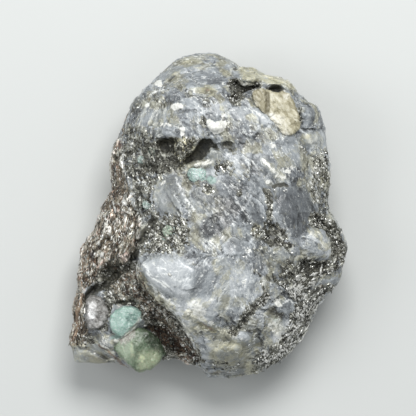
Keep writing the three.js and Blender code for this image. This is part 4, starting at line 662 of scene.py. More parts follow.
    ("rust", .38, 2, "p", [(116, 168), (124, 172), (128, 186), (126, 198), (119, 190)]), ("shade", .75, 1.5, "s", (1.3, [(115, 166), (117, 176), (121, 186), (127, 196), (129, 205)])), ("shade", .7, 1.5, "s", (1.2, [(124, 178), (128, 188), (130, 198)])), ("rust", .5, 2, "s", (1.5, [(114, 166), (116, 178), (119, 190), (122, 200)])),
    ("shade", .7, 1.4, "s", (1.1, [(117, 204), (116, 216), (113, 228), (110, 240)])), ("rust", .8, 1.8, "s", (1.4, [(114, 216), (114, 230), (113, 246)])), ("shade", .8, 1.6, "s", (1.5, [(133, 206), (136, 218), (137, 232), (138, 246), (134, 254)])),
    ("shade", .6, 1.4, "s", (1.0, [(126, 212), (125, 226), (122, 240), (117, 252)])), ("rust", .8, 1.8, "s", (1.3, [(129, 214), (130, 228), (128, 240)])), ("shade", .6, 1.4, "s", (1.0, [(103, 228), (99, 240), (96, 250), (94, 262)])),
    ("shade", .55, 1.4, "s", (1.0, [(90, 246), (87, 258), (85, 270), (84, 282)])), ("rust", .8, 2, "s", (1.5, [(88, 246), (85, 258), (83, 272), (80, 288)])), ("shade", .6, 1.6, "s", (1.2, [(108, 246), (104, 258), (98, 268), (92, 278)])),
    ("shade", .8, 1.8, "s", (1.8, [(244, 319), (238, 326), (234, 333)])), ("shade", .5, 3, "p", [(318, 220), (328, 224), (335, 234), (337, 248), (333, 248), (329, 235), (320, 227)]),
    ("shade", .85, 3, "p", [(296, 268), (306, 260), (320, 262), (333, 261), (331, 269), (316, 277), (307, 288), (299, 289)]), ("shade", .62, 3, "p", [(326, 226), (334, 234), (339, 246), (338, 256), (333, 254), (330, 240)]), ("shade", .5, 3, "e", (276, 350, 9, 4, -35)),
    ("shade", .5, 3, "p", [(300, 264), (309, 262), (318, 264), (328, 264), (322, 270), (306, 274), (301, 284), (297, 280)]), ("shade", .55, 2.5, "e", (97, 337, 7, 6, 20)), ("shade", .4, 3, "e", (152, 155, 9, 6, 0)), ("shade", .5, 2, "e", (216, 220, 4, 3, 0)),
    ("shade", .4, 2, "e", (206, 184, 4, 3, 0)), ("shade", .5, 1.6, "s", (1.4, [(275, 280), (281, 284), (285, 288)])), ("shade", .5, 3, "s", (2.4, [(120, 180), (126, 183), (128, 192)])), ("shade", .5, 2, "s", (1.6, [(121, 196), (122, 208), (123, 218)])),
]
FIELDS = ["mica", "brown", "stain", "white", "tone", "gloss", "green", "shade", "rust", "vein"]


def paint(u, v):
    out = {f: np.zeros(len(u)) for f in FIELDS}
    for field, strength, edge, kind, data in MARKS:
        if kind == "p":
            q = np.array(data)
            lo, hi = q.min(0), q.max(0)
        elif kind == "e":
            r = max(data[2], data[3])
            lo, hi = np.array(data[:2]) - r, np.array(data[:2]) + r
        else:
            q = np.array(data[1])
            lo, hi = q.min(0) - data[0], q.max(0) + data[0]
        near = np.flatnonzero((u > lo[0] - edge) & (u < hi[0] + edge) & (v > lo[1] - edge) & (v < hi[1] + edge))
        a, b = u[near], v[near]
        if kind == "p":
            d = poly_dist(a, b, data)
        elif kind == "e":
            cu, cv, ra, rb, turn = data
            t = math.radians(turn)
            p, q = (a - cu) * math.cos(t) + (b - cv) * math.sin(t), -(a - cu) * math.sin(t) + (b - cv) * math.cos(t)
            k = np.hypot(p / ra, q / rb)
            d = (k - 1) * min(ra, rb)
        else:
            d = line_dist(a, b, data[1]) - data[0]
        m = strength * (1 - smooth(-edge, edge, d))
        if field == "tone":
            out[field][near] += m
        else:
            out[field][near] = np.maximum(out[field][near], m)
    return out


# --------------------------------------------------------------- the matrix
rings = np.concatenate([np.linspace(0.004, 0.84, 150), np.linspace(0.845, 1.0, 46)[0:], np.linspace(1.01, 1.34, 40),
                        np.linspace(1.35, 1.64, 34), np.linspace(1.66, 1.99, 24)])
s, a, tri = sphere_grid(rings, np.linspace(0, 2 * np.pi, 840, endpoint=False))
co, wall_top = skin_points(s, a)
co = chip(co, wall_top) + [SHIFT[0], SHIFT[1], 0]
me = remeshed("matrix_even", co, tri, 0.56)
co, tri = refine(me, lambda c, n: (n[:, 2] > 0.12) & (c[:, 2] > 6))
bpy.data.meshes.remove(me)
co = averaged(co, tri, 1, 0.4)

nor = normals(co, tri)
broad = averaged(nor, tri, 14)
broad /= np.linalg.norm(broad, axis=1)[:, None]
face = smooth(0.12, 0.5, broad[:, 2]) * smooth(5, 9, co[:, 2])      # 1 on the show face
pu, pv = seen(*to_plan(co), co[:, 2])
wob = np.column_stack([noise(co, 0.9, 11), noise(co, 0.9, 12)]) * 1.1 + np.column_stack([noise(co, 2.4, 13), noise(co, 2.4, 14)]) * 1.4
field = paint(pu + wob[:, 0], pv + wob[:, 1])

# Three lengths in mm for every point: along the streaks or layers there, across them,
# and the third way. Each grain or block has its own direction.
LAYER = np.array([0.80, -0.10, 0.58])                      # across the layers of the sides
LAYER /= np.linalg.norm(LAYER)
ALONG = np.cross(LAYER, [0, 0, 1.0])
ALONG /= np.linalg.norm(ALONG)
THIRD = np.cross(LAYER, ALONG)
warp = co + 1.6 * np.column_stack([fbm(co, 7, 3, 21), fbm(co, 7, 3, 22), fbm(co, 7, 3, 23)])
flow = np.column_stack([warp @ ALONG, warp @ LAYER, warp @ THIRD])
ang = flow_angle(pu + 3 * wob[:, 0], pv + 3 * wob[:, 1])
ang += np.radians(14) * fbm(co, 14, 2, 24)
on_face = face + 0.5 * fbm(co, 3, 2, 25) > 0.45
front = np.column_stack([co[:, 0] * np.cos(ang) - co[:, 1] * np.sin(ang), co[:, 0] * np.sin(ang) + co[:, 1] * np.cos(ang), co[:, 2]])
flow[on_face] = front[on_face]
ou, ov = to_plan(co)
rim_in = -poly_dist(ou, ov, [tuple(p) for p in OUTLINE]) * UNIT
flank = (1 - smooth(-3, 3, poly_dist(pu + 2 * wob[:, 0], pv + 2 * wob[:, 1], FLANK))) * face
in_flank = (flank > 0.5) & on_face
fold = 0.9 * fbm(co * [1, 0.4, 1], 3.4, 3, 26)
bark = np.column_stack([co[:, 1], rim_in + fold - 0.35 * co[:, 2], co[:, 2]])
flow[in_flank] = bark[in_flank]

# The sides and the back, which nothing shows: mica schist in layers with quartz bands.
across = warp @ LAYER
band = noise(np.column_stack([across * 1.0, (warp @ np.array([0.1, 1, 0.05])) * 0.18, np.zeros(len(co))]), 3.2, 31)
left = smooth(-6, -20, co[:, 0])
side = {
    "mica": np.clip(0.50 + 0.75 * band + 0.35 * left + 0.3 * fbm(co, 5, 3, 32), 0, 1),
    "brown": np.clip(left * 1.0 + 0.35 * smooth(0.0, 0.5, fbm(co, 9, 2, 33)) + 0.35 * smooth(3, 0, co[:, 2]), 0, 1),
    "stain": np.clip(0.9 * smooth(0.12, 0.5, fbm(co, 6, 3, 34)) + 0.25, 0, 1),
    "white": 0.7 * smooth(0.42, 0.6, fbm(co, 3.2, 3, 35)),
    "tone": 0.35 * fbm(co, 6, 3, 36) - 0.12,
    "gloss": smooth(0.2, 0.5, fbm(co, 6, 2, 37)) * 0.6,
    "green": 0.35 * smooth(0.3, 0.55, fbm(co, 5, 2, 38)),
    "shade": 0.55 * smooth(0.35, 0.6, fbm(co, 4, 3, 39)),
    "rust": 0.6 * smooth(0.25, 0.5, fbm(co, 5, 3, 40)),
    "vein": 0.35 * smooth(0.15, 0.45, fbm(co, 6, 2, 47)),
}
on_lobe = smooth(-2.0, 2.0, poly_dist(ou, ov, CLIFF))
below_top = body_height(ou, ov) * (1 - on_lobe) + lobe_height(ou, ov) * on_lobe - co[:, 2]
rim_share = smooth(7.5, 3.0, below_top)
shown = np.maximum(face, rim_share)
for k in FIELDS:
    field[k] = field[k] * shown + side[k] * (1 - shown)
rare = smooth(0.25, 0.6, fbm(co, 2.2, 3, 41)) * 0.25
field["mica"] = np.clip(field["mica"] + rare * face, 0, 1)
field["tone"] = np.clip(field["tone"] + 0.12 * fbm(co, 4, 2, 42), -1, 1)
grain = cells(flow * [0.6, 1, 1] + 0.7 * np.column_stack([fbm(co, 2.2, 2, 43), fbm(co, 2.2, 2, 44), fbm(co, 2.2, 2, 45)]), 3.3, 46)
plain = np.clip(1 - field["mica"] * 1.4, 0, 1) * (1 - field["gloss"])
field["tone"] = np.clip(field["tone"] + plain * 0.34 * (grain[2][:, 0] - 0.5), -1, 1)
field["stain"] = np.maximum(field["stain"], 0.45 * plain * (grain[2][:, 1] > 0.66))
field["gloss"] = np.maximum(field["gloss"], 0.6 * plain * smooth(0.3, 0.7, grain[2][:, 2]))
field["white"] = np.maximum(field["white"], 0.42 * plain * smooth(0.16, 0.04, grain[1] - grain[0]))

# Fine relief: broken faces of the grains, layers in the mica, and grit.
mica, gloss, shade, white, brown = (field[k] for k in ("mica", "gloss", "shade", "white", "brown"))
hard = np.clip(1 - mica, 0, 1) * (1 - shade)
soft_warp = lambda q, k, sc, sd: q + k * np.column_stack([noise(q, sc, sd), noise(q, sc, sd + 1), noise(q, sc, sd + 2)])
tilt = lambda c, k: ((c[2] - 0.5) * 2 * k * c[3]).sum(1)
big = cells(soft_warp(flow * [0.75, 1, 1], 0.8, 3.0, 51), 5.2, 54)
mid = cells(soft_warp(flow * [0.6, 1, 1], 0.4, 1.4, 55), 2.2, 58)
small = cells(soft_warp(flow * [0.6, 1, 1], 0.2, 0.8, 65), 0.95, 59)
rough_q = hard * (1 - 0.85 * gloss)
d = hard * 0.12 * (1 - 0.5 * gloss) * tilt(big, 1.0) + rough_q * (0.08 * tilt(mid, 1.0) + 0.07 * tilt(small, 1.3))
d -= hard * (1 - gloss) * 0.05 * smooth(0.25, 0.0, big[1] - big[0])
# mica in plates; on the flank and the sides in long layers like bark
plate = cells(soft_warp(flow * [0.45, 1, 1], 0.2, 0.7, 71), 0.75, 74)
long_a = noise(flow * [0.13, 1, 0.3], 1.5, 75)
long_b = noise(flow * [0.18, 1, 0.4], 0.75, 76)
long_c = noise(flow * [0.10, 1, 0.25], 3.0, 77)
bark_relief = 0.5 * (1 - 2 * np.abs(long_c)) + 0.40 * (1 - 2 * np.abs(long_a)) + 0.24 * (1 - 2 * np.abs(long_b))
layered = flow[:, 1] / 1.9 + 0.5 * fbm(co, 4.5, 3, 61)
ledge = layered - np.floor(layered)
bark_share = np.clip(flank + (1 - face) * 0.8, 0, 1)
d += mica * (1 - shade) * (1 - 0.62 * bark_share) * (0.34 * tilt(plate, 1.4) + 0.20 * fbm(co, 1.1, 3, 62))
d += bark_share * (1 - 0.6 * shade) * (0.35 + 0.65 * mica) * bark_relief * (1.05 - 0.25 * (1 - face))
d += (1 - face) * 0.55 * (ledge - 0.5) * np.clip(0.3 + mica, 0, 1)
d += (0.05 + 0.17 * (1 - face)) * fbm(co, 2.6, 4, 63) * (1 - 0.8 * gloss)
d += (1 - face) * 0.5 * fbm(co, 6.5, 3, 64)
low = smooth(0.0, 2.2, co[:, 2])                       # the flat underside stays flat
under = co[:, 2] < 0.02
co = co + nor * (d * low)[:, None]
co[:, 2] = np.maximum(co[:, 2], 0.0)
co = averaged(co, tri, 1, 0.10)
co[:, 2] = np.maximum(co[:, 2], 0.0)
nor = normals(co, tri)
# Painted shade and light: pit and dip measure how far each point lies below its neighbours (negative on ridges); the
# shader darkens the colour in crevices and hollows and lightens it on ridges.
for name, times, size in (("pit", 5, 0.16), ("dip", 30, 0.5)):
    field[name] = np.clip(((averaged(co, tri, times) - co) * nor).sum(1) / size, -1, 1)
    field[name][under] = 0
field["fa"], field["fb"], field["fc"] = flow.T
field["bark"] = np.where(in_flank | ~on_face, 1.0, 0.0)


# ------------------------------------------------------------------ node helper
class Nodes:
    """Short names for building a material."""

    def __init__(self, name):
        self.mat = bpy.data.materials.new(name)
        self.mat.use_nodes = True
        self.t = self.mat.node_tree
        self.t.nodes.clear()
        self.out = self.t.nodes.new("ShaderNodeOutputMaterial")
        self.bsdf = self.t.nodes.new("ShaderNodeBsdfPrincipled")
        self.t.links.new(self.bsdf.outputs[0], self.out.inputs[0])
        tc = self.t.nodes.new("ShaderNodeTexCoord")
        self.mm = self.vec("SCALE", tc.outputs["Object"], scale=1000.0)

    def set(self, socket, value):
        s = self.bsdf.inputs[socket]
        if isinstance(value, bpy.types.NodeSocket):
            self.t.links.new(value, s)
        else:
            s.default_value = value

    def put(self, node, i, value):
        if isinstance(value, bpy.types.NodeSocket):
            self.t.links.new(value, node.inputs[i])
        elif value is not None:
            node.inputs[i].default_value = value

    def vec(self, op, a, b=None, scale=None):
        n = self.t.nodes.new("ShaderNodeVectorMath")
        n.operation = op
        self.put(n, 0, a)
        if b is not None:
            self.put(n, 1, b)
        if scale is not None:
            self.put(n, "Scale", scale)
        return n.outputs[0]

    def math(self, op, a, b=None, c=None, clamp=False):
        n = self.t.nodes.new("ShaderNodeMath")
        n.operation, n.use_clamp = op, clamp
        self.put(n, 0, a)
        if b is not None:
            self.put(n, 1, b)
        if c is not None:
            self.put(n, 2, c)
        return n.outputs[0]

    def add(self, *v):
        r = v[0]
        for x in v[1:]:
            r = self.math("ADD", r, x)
        return r

    def mul(self, *v):
        r = v[0]
        for x in v[1:]:
            r = self.math("MULTIPLY", r, x)
        return r

    def off(self, x, k):
        """x less a half, times k."""
        return self.math("MULTIPLY_ADD", x, k, -0.5 * k)

    def step(self, x, a, b, lo=0.0, hi=1.0):
        n = self.t.nodes.new("ShaderNodeMapRange")
        n.interpolation_type = "SMOOTHSTEP"
        for k, val in (("Value", x), ("From Min", a), ("From Max", b), ("To Min", lo), ("To Max", hi)):
            self.put(n, k, val)
        return n.outputs[0]

    def attr(self, name):
        n = self.t.nodes.new("ShaderNodeAttribute")
        n.attribute_name = name
        return n.outputs["Fac"]

    def xyz(self, x, y, z):
        n = self.t.nodes.new("ShaderNodeCombineXYZ")
        for i, val in enumerate((x, y, z)):
            self.put(n, i, val)
        return n.outputs[0]

    def noise(self, per_mm, detail=3, rough=0.55, where=None, distort=0.0, color=False):
        n = self.t.nodes.new("ShaderNodeTexNoise")
        n.inputs["Scale"].default_value = per_mm
        n.inputs["Detail"].default_value = detail
        n.inputs["Roughness"].default_value = rough
        n.inputs["Distortion"].default_value = distort
        self.put(n, "Vector", where or self.mm)
        return n.outputs["Color" if color else "Fac"]

    def cells(self, per_mm, where=None, feature="F1", out="Color"):
        n = self.t.nodes.new("ShaderNodeTexVoronoi")
        n.feature = feature
        n.inputs["Scale"].default_value = per_mm
        self.put(n, "Vector", where or self.mm)
        return n.outputs[out]

    def ramp(self, x, stops, interp="LINEAR"):
        n = self.t.nodes.new("ShaderNodeValToRGB")
        n.color_ramp.interpolation = interp
        e = n.color_ramp.elements
        while len(e) < len(stops):
            e.new(0.5)
        for i, (pos, col) in enumerate(stops):
            e[i].position, e[i].color = pos, col
        self.put(n, 0, x)
        return n.outputs[0]

    def mix(self, fac, a, b, kind="MIX"):
        n = self.t.nodes.new("ShaderNodeMix")
        n.data_type, n.blend_type = "RGBA", kind
        self.put(n, 0, fac)
        self.put(n, 6, a)
        self.put(n, 7, b)
        return n.outputs[2]

    def lerp(self, fac, a, b):
        n = self.t.nodes.new("ShaderNodeMix")
        n.data_type = "FLOAT"
        self.put(n, 0, fac)
        self.put(n, 2, a)
        self.put(n, 3, b)
        return n.outputs[0]

    def sep(self, c):
        n = self.t.nodes.new("ShaderNodeSeparateColor")
        self.put(n, 0, c)
        return n.outputs

    def bump(self, height, distance_mm, strength=1.0, normal=None):
        n = self.t.nodes.new("ShaderNodeBump")
        n.inputs["Distance"].default_value = distance_mm / 1000
        self.put(n, "Strength", strength)
        self.put(n, "Height", height)
        if normal is not None:
            self.put(n, "Normal", normal)
        return n.outputs[0]

    def tilted(self, normal, rnd, amount):
        """The normal turned at random, the same over each cell."""
        c = self.vec("SUBTRACT", rnd, (0.5, 0.5, 0.5))
        c = self.vec("SCALE", c, scale=amount)
        return self.vec("NORMALIZE", self.vec("ADD", normal, c))


def matrix_material():
    n = Nodes("matrix_rock")
    mica_a, brown, stain, white_a = n.attr("mica"), n.attr("brown"), n.attr("stain"), n.attr("white")
    tone, gloss, green, shade, pit, dip = (n.attr(k) for k in ("tone", "gloss", "green", "shade", "pit", "dip"))
    flow = n.xyz(n.attr("fa"), n.attr("fb"), n.attr("fc"))
    wob1 = n.vec("SCALE", n.vec("SUBTRACT", n.noise(0.9, 3, color=True), (0.5, 0.5, 0.5)), scale=1.3)
    wob2 = n.vec("SCALE", n.vec("SUBTRACT", n.noise(2.4, 2, color=True), (0.5, 0.5, 0.5)), scale=0.5)
    f2 = n.vec("MULTIPLY", flow, (0.45, 1.0, 1.0))
    grain_at = n.vec("ADD", f2, wob1)
    chip_at = n.vec("ADD", f2, wob2)
    g1c, g2c = n.cells(0.62, where=grain_at), n.cells(1.9, where=chip_at)
    g1, g2 = n.sep(g1c), n.sep(g2c)
    n0, n1, n2, n3 = n.noise(0.22, 2), n.noise(0.6, 3, 0.6), n.noise(1.8, 3, 0.6), n.noise(4.2, 2, 0.6)
    hair = n.noise(2.6, 2, 0.6, where=n.vec("MULTIPLY", n.vec("ADD", flow, wob2), (0.14, 1.0, 0.6)))
    # quartz: mottled patches, cool grey and warm grey, with pale hairlines
    loud = n.lerp(gloss, 1.0, 0.34)
    grit = n.sep(n.cells(3.4, where=n.vec("ADD", n.vec("MULTIPLY", flow, (0.6, 1.0, 1.0)), wob2)))
    # Painted shade: dip and pit darken the quartz colour in hollows and crevices and lighten it on ridges.
    val = n.add(n.mul(tone, 0.58), 0.35, n.mul(loud, n.add(n.off(n0, 0.50), n.off(n1, 0.65), n.off(n2, 0.50), n.off(n3, 0.30), n.off(g1[0], 0.26),
                n.off(g2[0], 0.20), n.off(grit[0], 0.10), n.off(hair, 0.18))), n.mul(dip, -0.10), n.mul(pit, -0.20))
    cool = n.ramp(val, [(0.0, srgb(48, 50, 52)), (0.25, srgb(104, 108, 111)), (0.5, srgb(144, 149, 152)), (0.72, srgb(178, 182, 184)), (1.0, srgb(230, 232, 232))])
    warm = n.ramp(val, [(0.0, srgb(52, 51, 44)), (0.25, srgb(110, 109, 98)), (0.5, srgb(152, 152, 140)), (0.72, srgb(186, 186, 174)), (1.0, srgb(234, 233, 224))])
    hue = n.step(n.add(n.noise(0.33, 3, 0.6), n.off(g1[1], 0.30), n.off(g2[1], 0.16), n.off(n3, 0.2), n.mul(stain, 0.42), n.mul(gloss, -0.2)), 0.48, 0.70)
    quartz = n.mix(n.mul(hue, 0.85), cool, warm)
    thin = n.noise(3.4, 1, 0.5, where=n.vec("MULTIPLY", n.vec("ADD", flow, wob1), (0.16, 1.0, 0.6)))
    line = n.mul(n.step(thin, 0.60, 0.67), n.step(n1, 0.40, 0.56))
    speck = n.step(n.add(grit[2], n.off(n3, 0.35)), 0.93, 0.99)
    quartz = n.mix(n.math("MAXIMUM", n.mul(line, n.lerp(gloss, 0.52, 0.1)), n.mul(loud, speck, 0.7)), quartz, srgb(226, 228, 224))
    mote = n.step(n.add(grit[1], n.off(n2, 0.5)), 0.97, 1.04)
    quartz = n.mix(n.mul(loud, mote, 0.55), quartz, srgb(62, 62, 58))
    # mica: small plates from black to silver, in quartz grains of their own
    bark_here = n.attr("bark")
    ease = n.lerp(bark_here, 0.7, 0.22)
    plate_at = n.vec("ADD", n.vec("MULTIPLY", flow, n.xyz(n.lerp(bark_here, 0.24, 0.10), 1.15, n.lerp(bark_here, 1.0, 0.4))), n.vec("MULTIPLY", wob2, n.xyz(ease, ease, ease)))
    p1c, p2c = n.cells(2.5, where=plate_at), n.cells(1.2, where=plate_at)
    p1, p2 = n.sep(p1c), n.sep(p2c)
    layer = n.noise(0.75, 2, 0.5, where=n.vec("MULTIPLY", n.vec("ADD", flow, n.vec("SCALE", wob1, scale=0.35)), (0.10, 1.0, 0.5)))
    # Painted shade: pit and dip darken the mica in crevices and between the layers and lighten it on ridges.
    pr = n.add(n.mul(n.off(layer, 2.3), bark_here), n.mul(p1[0], 0.48), n.mul(p2[0], 0.38), n.off(n1, 1.0), n.off(n2, 0.35), n.mul(n.off(hair, 1.0), n.lerp(bark_here, 0.75, 1.9)), n.mul(pit, -0.24), n.mul(dip, n.lerp(bark_here, -0.12, -0.42)), n.mul(tone, 0.35), 0.05)
    grey_mica = n.ramp(pr, [(0.0, srgb(22, 21, 18)), (0.28, srgb(54, 53, 46)), (0.5, srgb(100, 99, 89)), (0.7, srgb(148, 148, 137)), (0.85, srgb(208, 208, 200)), (1.0, srgb(242, 242, 238))])
    brown_mica = n.ramp(pr, [(0.0, srgb(26, 23, 19)), (0.25, srgb(64, 57, 48)), (0.47, srgb(104, 95, 80)), (0.68, srgb(150, 143, 125)), (0.85, srgb(212, 208, 194)), (1.0, srgb(242, 240, 232))])
    red = n.step(n.add(n.noise(0.9, 3, 0.6, where=n.vec("MULTIPLY", flow, (0.2, 1.0, 0.5))), n.off(layer, -0.5)), 0.46, 0.64)
    brown_mica = n.mix(n.mul(red, 0.8), brown_mica, n.mix(1.0, brown_mica, srgb(226, 184, 170), "MULTIPLY"))
    mica_col = n.mix(brown, grey_mica, brown_mica)
    m = n.step(n.add(mica_a, n.off(n0, 0.5), n.off(n1, 1.3), n.off(n2, 0.65), n.off(p2[1], 0.26), n.off(p1[1], 0.22)), 0.42, 0.54)
    col = n.mix(m, quartz, mica_col)
    # stains, pale veins, white grains, green bits, painted shade in the hollows, cracks and gaps, and rusty crusts;
    # some of the whites and veins are painted glints and painted highlight streaks
    st = n.mul(stain, n.step(n.add(n2, n.mul(n3, 0.5)), 0.45, 0.95, 0.25, 1.0))
    col = n.mix(n.mul(st, 0.75), col, n.mix(1.0, col, srgb(226, 216, 168), "MULTIPLY"))
    vein = n.mul(n.step(n.attr("vein"), 0.2, 0.9), n.math("MAXIMUM", n.step(n1, 0.36, 0.60, 0.35, 1.0), n.step(n.attr("vein"), 0.75, 0.95)), n.step(n.add(n.mul(thin, 0.55), n.mul(n2, 0.45), n.mul(n.attr("vein"), 0.12)), 0.52, 0.62), n.lerp(m, 1.0, 0.3))
    col = n.mix(n.mul(vein, n.lerp(n.attr("vein"), 0.6, 0.92)), col, srgb(230, 232, 229))
    w = n.step(n.add(white_a, n.off(n2, 0.7), n.off(n3, 0.6), n.off(g2[1], 0.25)), 0.44, 0.60)
    col = n.mix(n.mul(w, 0.85), col, n.ramp(n2, [(0.3, srgb(190, 190, 182)), (0.55, srgb(226, 226, 220))]))
    g = n.step(n.add(green, n.off(n2, 0.5), n.off(n3, 0.4)), 0.28, 0.6)
    col = n.mix(n.mul(g, 0.6), col, n.ramp(n2, [(0.3, srgb(104, 136, 122)), (0.6, srgb(148, 178, 166))]))
    # Painted shade: the shade field draws the colour to a dark ramp in hollows, cracks and gaps; in a few places it
    # gives dark mica its own colour.
    sh = n.step(n.add(shade, n.off(n3, 0.5), n.off(p1[2], 0.2)), 0.32, 0.75)
    dark = n.ramp(n.add(n2, n.off(p1[0], 0.4)), [(0.2, srgb(24, 23, 19)), (0.5, srgb(50, 49, 41)), (0.75, srgb(78, 76, 64)), (0.95, srgb(130, 128, 116))])
    col = n.mix(n.mul(sh, 0.88), col, dark)
    rust = n.step(n.add(n.attr("rust"), n.off(n2, 0.6), n.off(n3, 0.5)), 0.30, 0.62)
    crust = n.ramp(n.add(n2, n.off(p1[0], 0.5)), [(0.2, srgb(48, 34, 29)), (0.5, srgb(96, 74, 62)), (0.8, srgb(164, 142, 118))])
    col = n.mix(n.mul(rust, 0.72), col, crust)
    n.set("Base Color", col)
    # finish
    rough = n.lerp(m, n.lerp(gloss, n.add(0.46, n.off(g2[2], 0.3)), 0.28), n.lerp(p1[2], 0.20, 0.5))
    rough = n.lerp(sh, n.add(rough, n.off(n3, 0.3)), 0.6)
    n.set("Roughness", rough)
    n.set("Metallic", n.mul(m, n.step(pr, 0.55, 0.9), 0.4))
    fine = n.add(n.mul(n2, 0.4), n.mul(n3, 0.45), n.mul(hair, 0.2))
    b = n.bump(fine, 0.11, n.lerp(sh, n.lerp(gloss, 0.7, 0.3), 0.3))
    b = n.tilted(b, g2c, n.lerp(m, n.lerp(gloss, 0.17, 0.04), 0.0))
    b = n.tilted(b, g1c, n.lerp(m, n.lerp(gloss, 0.15, 0.08), 0.0))
    b = n.tilted(b, p1c, n.mul(m, n.lerp(sh, 0.95, 0.2)))
    n.set("Normal", b)
    return n.mat


def add_piece(name, co_mm, tri, mat, node=None, fields=None, smooth_faces=True):
    me = make_mesh(name, co_mm / 1000.0, tri)
    if smooth_faces:
        me.polygons.foreach_set("use_smooth", np.ones(len(tri), bool))
    for k, val in (fields or {}).items():
        at = me.attributes.new(k, "FLOAT", "POINT")
        at.data.foreach_set("value", np.ascontiguousarray(val, np.float32))
    me.materials.append(mat)
    me.update()
    ob = bpy.data.objects.new(name, me)
    bpy.context.scene.collection.objects.link(ob)
    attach(ob, "root")
    if node:
        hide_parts(node)
    return ob


def thinned(ob, where, ratio):
    """The same surface with fewer triangles where there is nothing to show."""
    ob.vertex_groups.new(name="thin").add(np.flatnonzero(where).tolist(), 1.0, "REPLACE")
    mod = ob.modifiers.new("thin", "DECIMATE")
    mod.vertex_group, mod.ratio = "thin", ratio
    new = bpy.data.meshes.new_from_object(ob.evaluated_get(bpy.context.evaluated_depsgraph_get()))
    ob.modifiers.remove(mod)
    ob.vertex_groups.clear()
    ob.data = new


matrix = add_piece("matrix_rock", co, tri, matrix_material(), "matrix", field)
flat = (co[:, 2] < 1e-4) & (averaged(co[:, 2], tri, 3) < 0.01)
thinned(matrix, flat, 1 - 0.95 * flat[tri].all(1).mean())

# -------------------------------------------------------------- mica flakes
def plates(name, p, n2, x, rad, long, mat, seed, thick=0.05):
    """Thin six-sided plates at p with the normals n2; x is the way they are long."""
    r = np.random.default_rng(seed)
    count, m = len(p), 6
    x = x - n2 * (x * n2).sum(1)[:, None]
    x /= np.linalg.norm(x, axis=1)[:, None]
    y = np.cross(n2, x)
    th = np.arange(m) * 2 * np.pi / m
    rr = rad[:, None] * (0.75 + 0.35 * r.random((count, m)))
    ring = p[:, None] + x[:, None] * (rr * np.cos(th) * long[:, None])[..., None] + y[:, None] * (rr * np.sin(th))[..., None]
    top, bot = ring + n2[:, None] * thick / 2, ring - n2[:, None] * thick / 2
    verts = np.concatenate([top, bot], 1)
    verts = verts[verts[:, :, 2].min(1) > 0.0]
    f = []
    for i in range(1, m - 1):
        f.append((0, i, i + 1))
        f.append((m, m + i + 1, m + i))
    for i in range(m):
        j = (i + 1) % m
        f.append((i, m + i, m + j))
        f.append((i, m + j, j))
    f = np.array(f)
    faces = (np.arange(len(verts))[:, None, None] * 2 * m + f[None]).reshape(-1, 3)
    return add_piece(name, verts.reshape(-1, 3), faces, mat, None, smooth_faces=False)


def along_way():
    """The direction of the streaks at each vertex, as a vector in the frame."""
    w = np.tile(ALONG, (len(co), 1))
    w[on_face] = np.column_stack([np.cos(ang), -np.sin(ang), np.zeros(len(co))])[on_face]
    w[in_flank] = [0.15, 1, 0]
    return w


WAY = along_way()


def flakes(name, count, weight, size, mat, seed, tilt_deg=32, catch=0.0, stretch=1.0):
    r = np.random.default_rng(seed)
    a, b, c = co[tri[:, 0]], co[tri[:, 1]], co[tri[:, 2]]
    area = np.linalg.norm(np.cross(b - a, c - a), axis=1)
    w = area * weight[tri].mean(1)
    pick = r.choice(len(tri), count, p=w / w.sum())
    k = r.random((count, 2))
    k = np.where(k.sum(1, keepdims=True) > 1, 1 - k, k)
    p = a[pick] + k[:, :1] * (b - a)[pick] + k[:, 1:] * (c - a)[pick]
    n = nor[tri[pick, 0]]
    ax = np.cross(n, WAY[tri[pick, 0]] + 0.8 * r.normal(size=(count, 3)))
    ax = np.cross(ax, n) + 0.4 * r.normal(size=(count, 3))       # mostly turned about their own length
    ax /= np.linalg.norm(ax, axis=1)[:, None]
    steep = smooth(0.5, 0.2, broad[tri[pick, 0], 2])
    ang_ = np.radians(r.normal(0, tilt_deg, count)) * (1 - 0.7 * steep)
    n2 = n * np.cos(ang_)[:, None] + np.cross(ax, n) * np.sin(ang_)[:, None]
    aim = np.array([0.04, 0.23, 0.97]) + 0.12 * r.normal(size=(count, 3))
    pull = np.minimum(catch * r.random(count), 1) * smooth(0.05, 0.45, n @ [0.04, 0.23, 0.97])
    n2 = n2 + pull[:, None] * (aim - n2)                         # some plates lie so that they catch the light
    n2 /= np.linalg.norm(n2, axis=1)[:, None]
    rad = size[0] + (size[1] - size[0]) * r.random(count) ** 2.2
    bark_here = field["bark"][tri[pick, 0]]
    rad = rad * (1 - 0.55 * bark_here)
    long = (0.8 + 1.2 * r.random(count)) * (1 + 2.6 * bark_here * r.random(count)) * stretch
    p = p + n * (0.15 * rad * np.abs(np.sin(ang_)) + 0.10 * pull)[:, None]
    return plates(name, p, n2, WAY[tri[pick, 0]] + (0.5 - 0.3 * bark_here)[:, None] * r.normal(size=(count, 3)), rad, long, mat, seed)


def flake_material(name, dark, mid, light, rough, metal):
    n = Nodes(name)
    c = n.sep(n.cells(1.1))
    k = n.add(n.mul(c[0], 0.8), n.off(n.noise(3.0, 3), 0.8), 0.1)
    n.set("Base Color", n.ramp(k, [(0.0, dark), (0.5, mid), (1.0, light)]))
    n.set("Roughness", n.add(rough, n.off(n.noise(6.0, 2), 0.25)))
    n.set("Metallic", n.mul(n.step(k, 0.3, 0.9), metal))
    n.set("Normal", n.bump(n.noise(4.0, 3), 0.12, 0.6))
    return n.mat


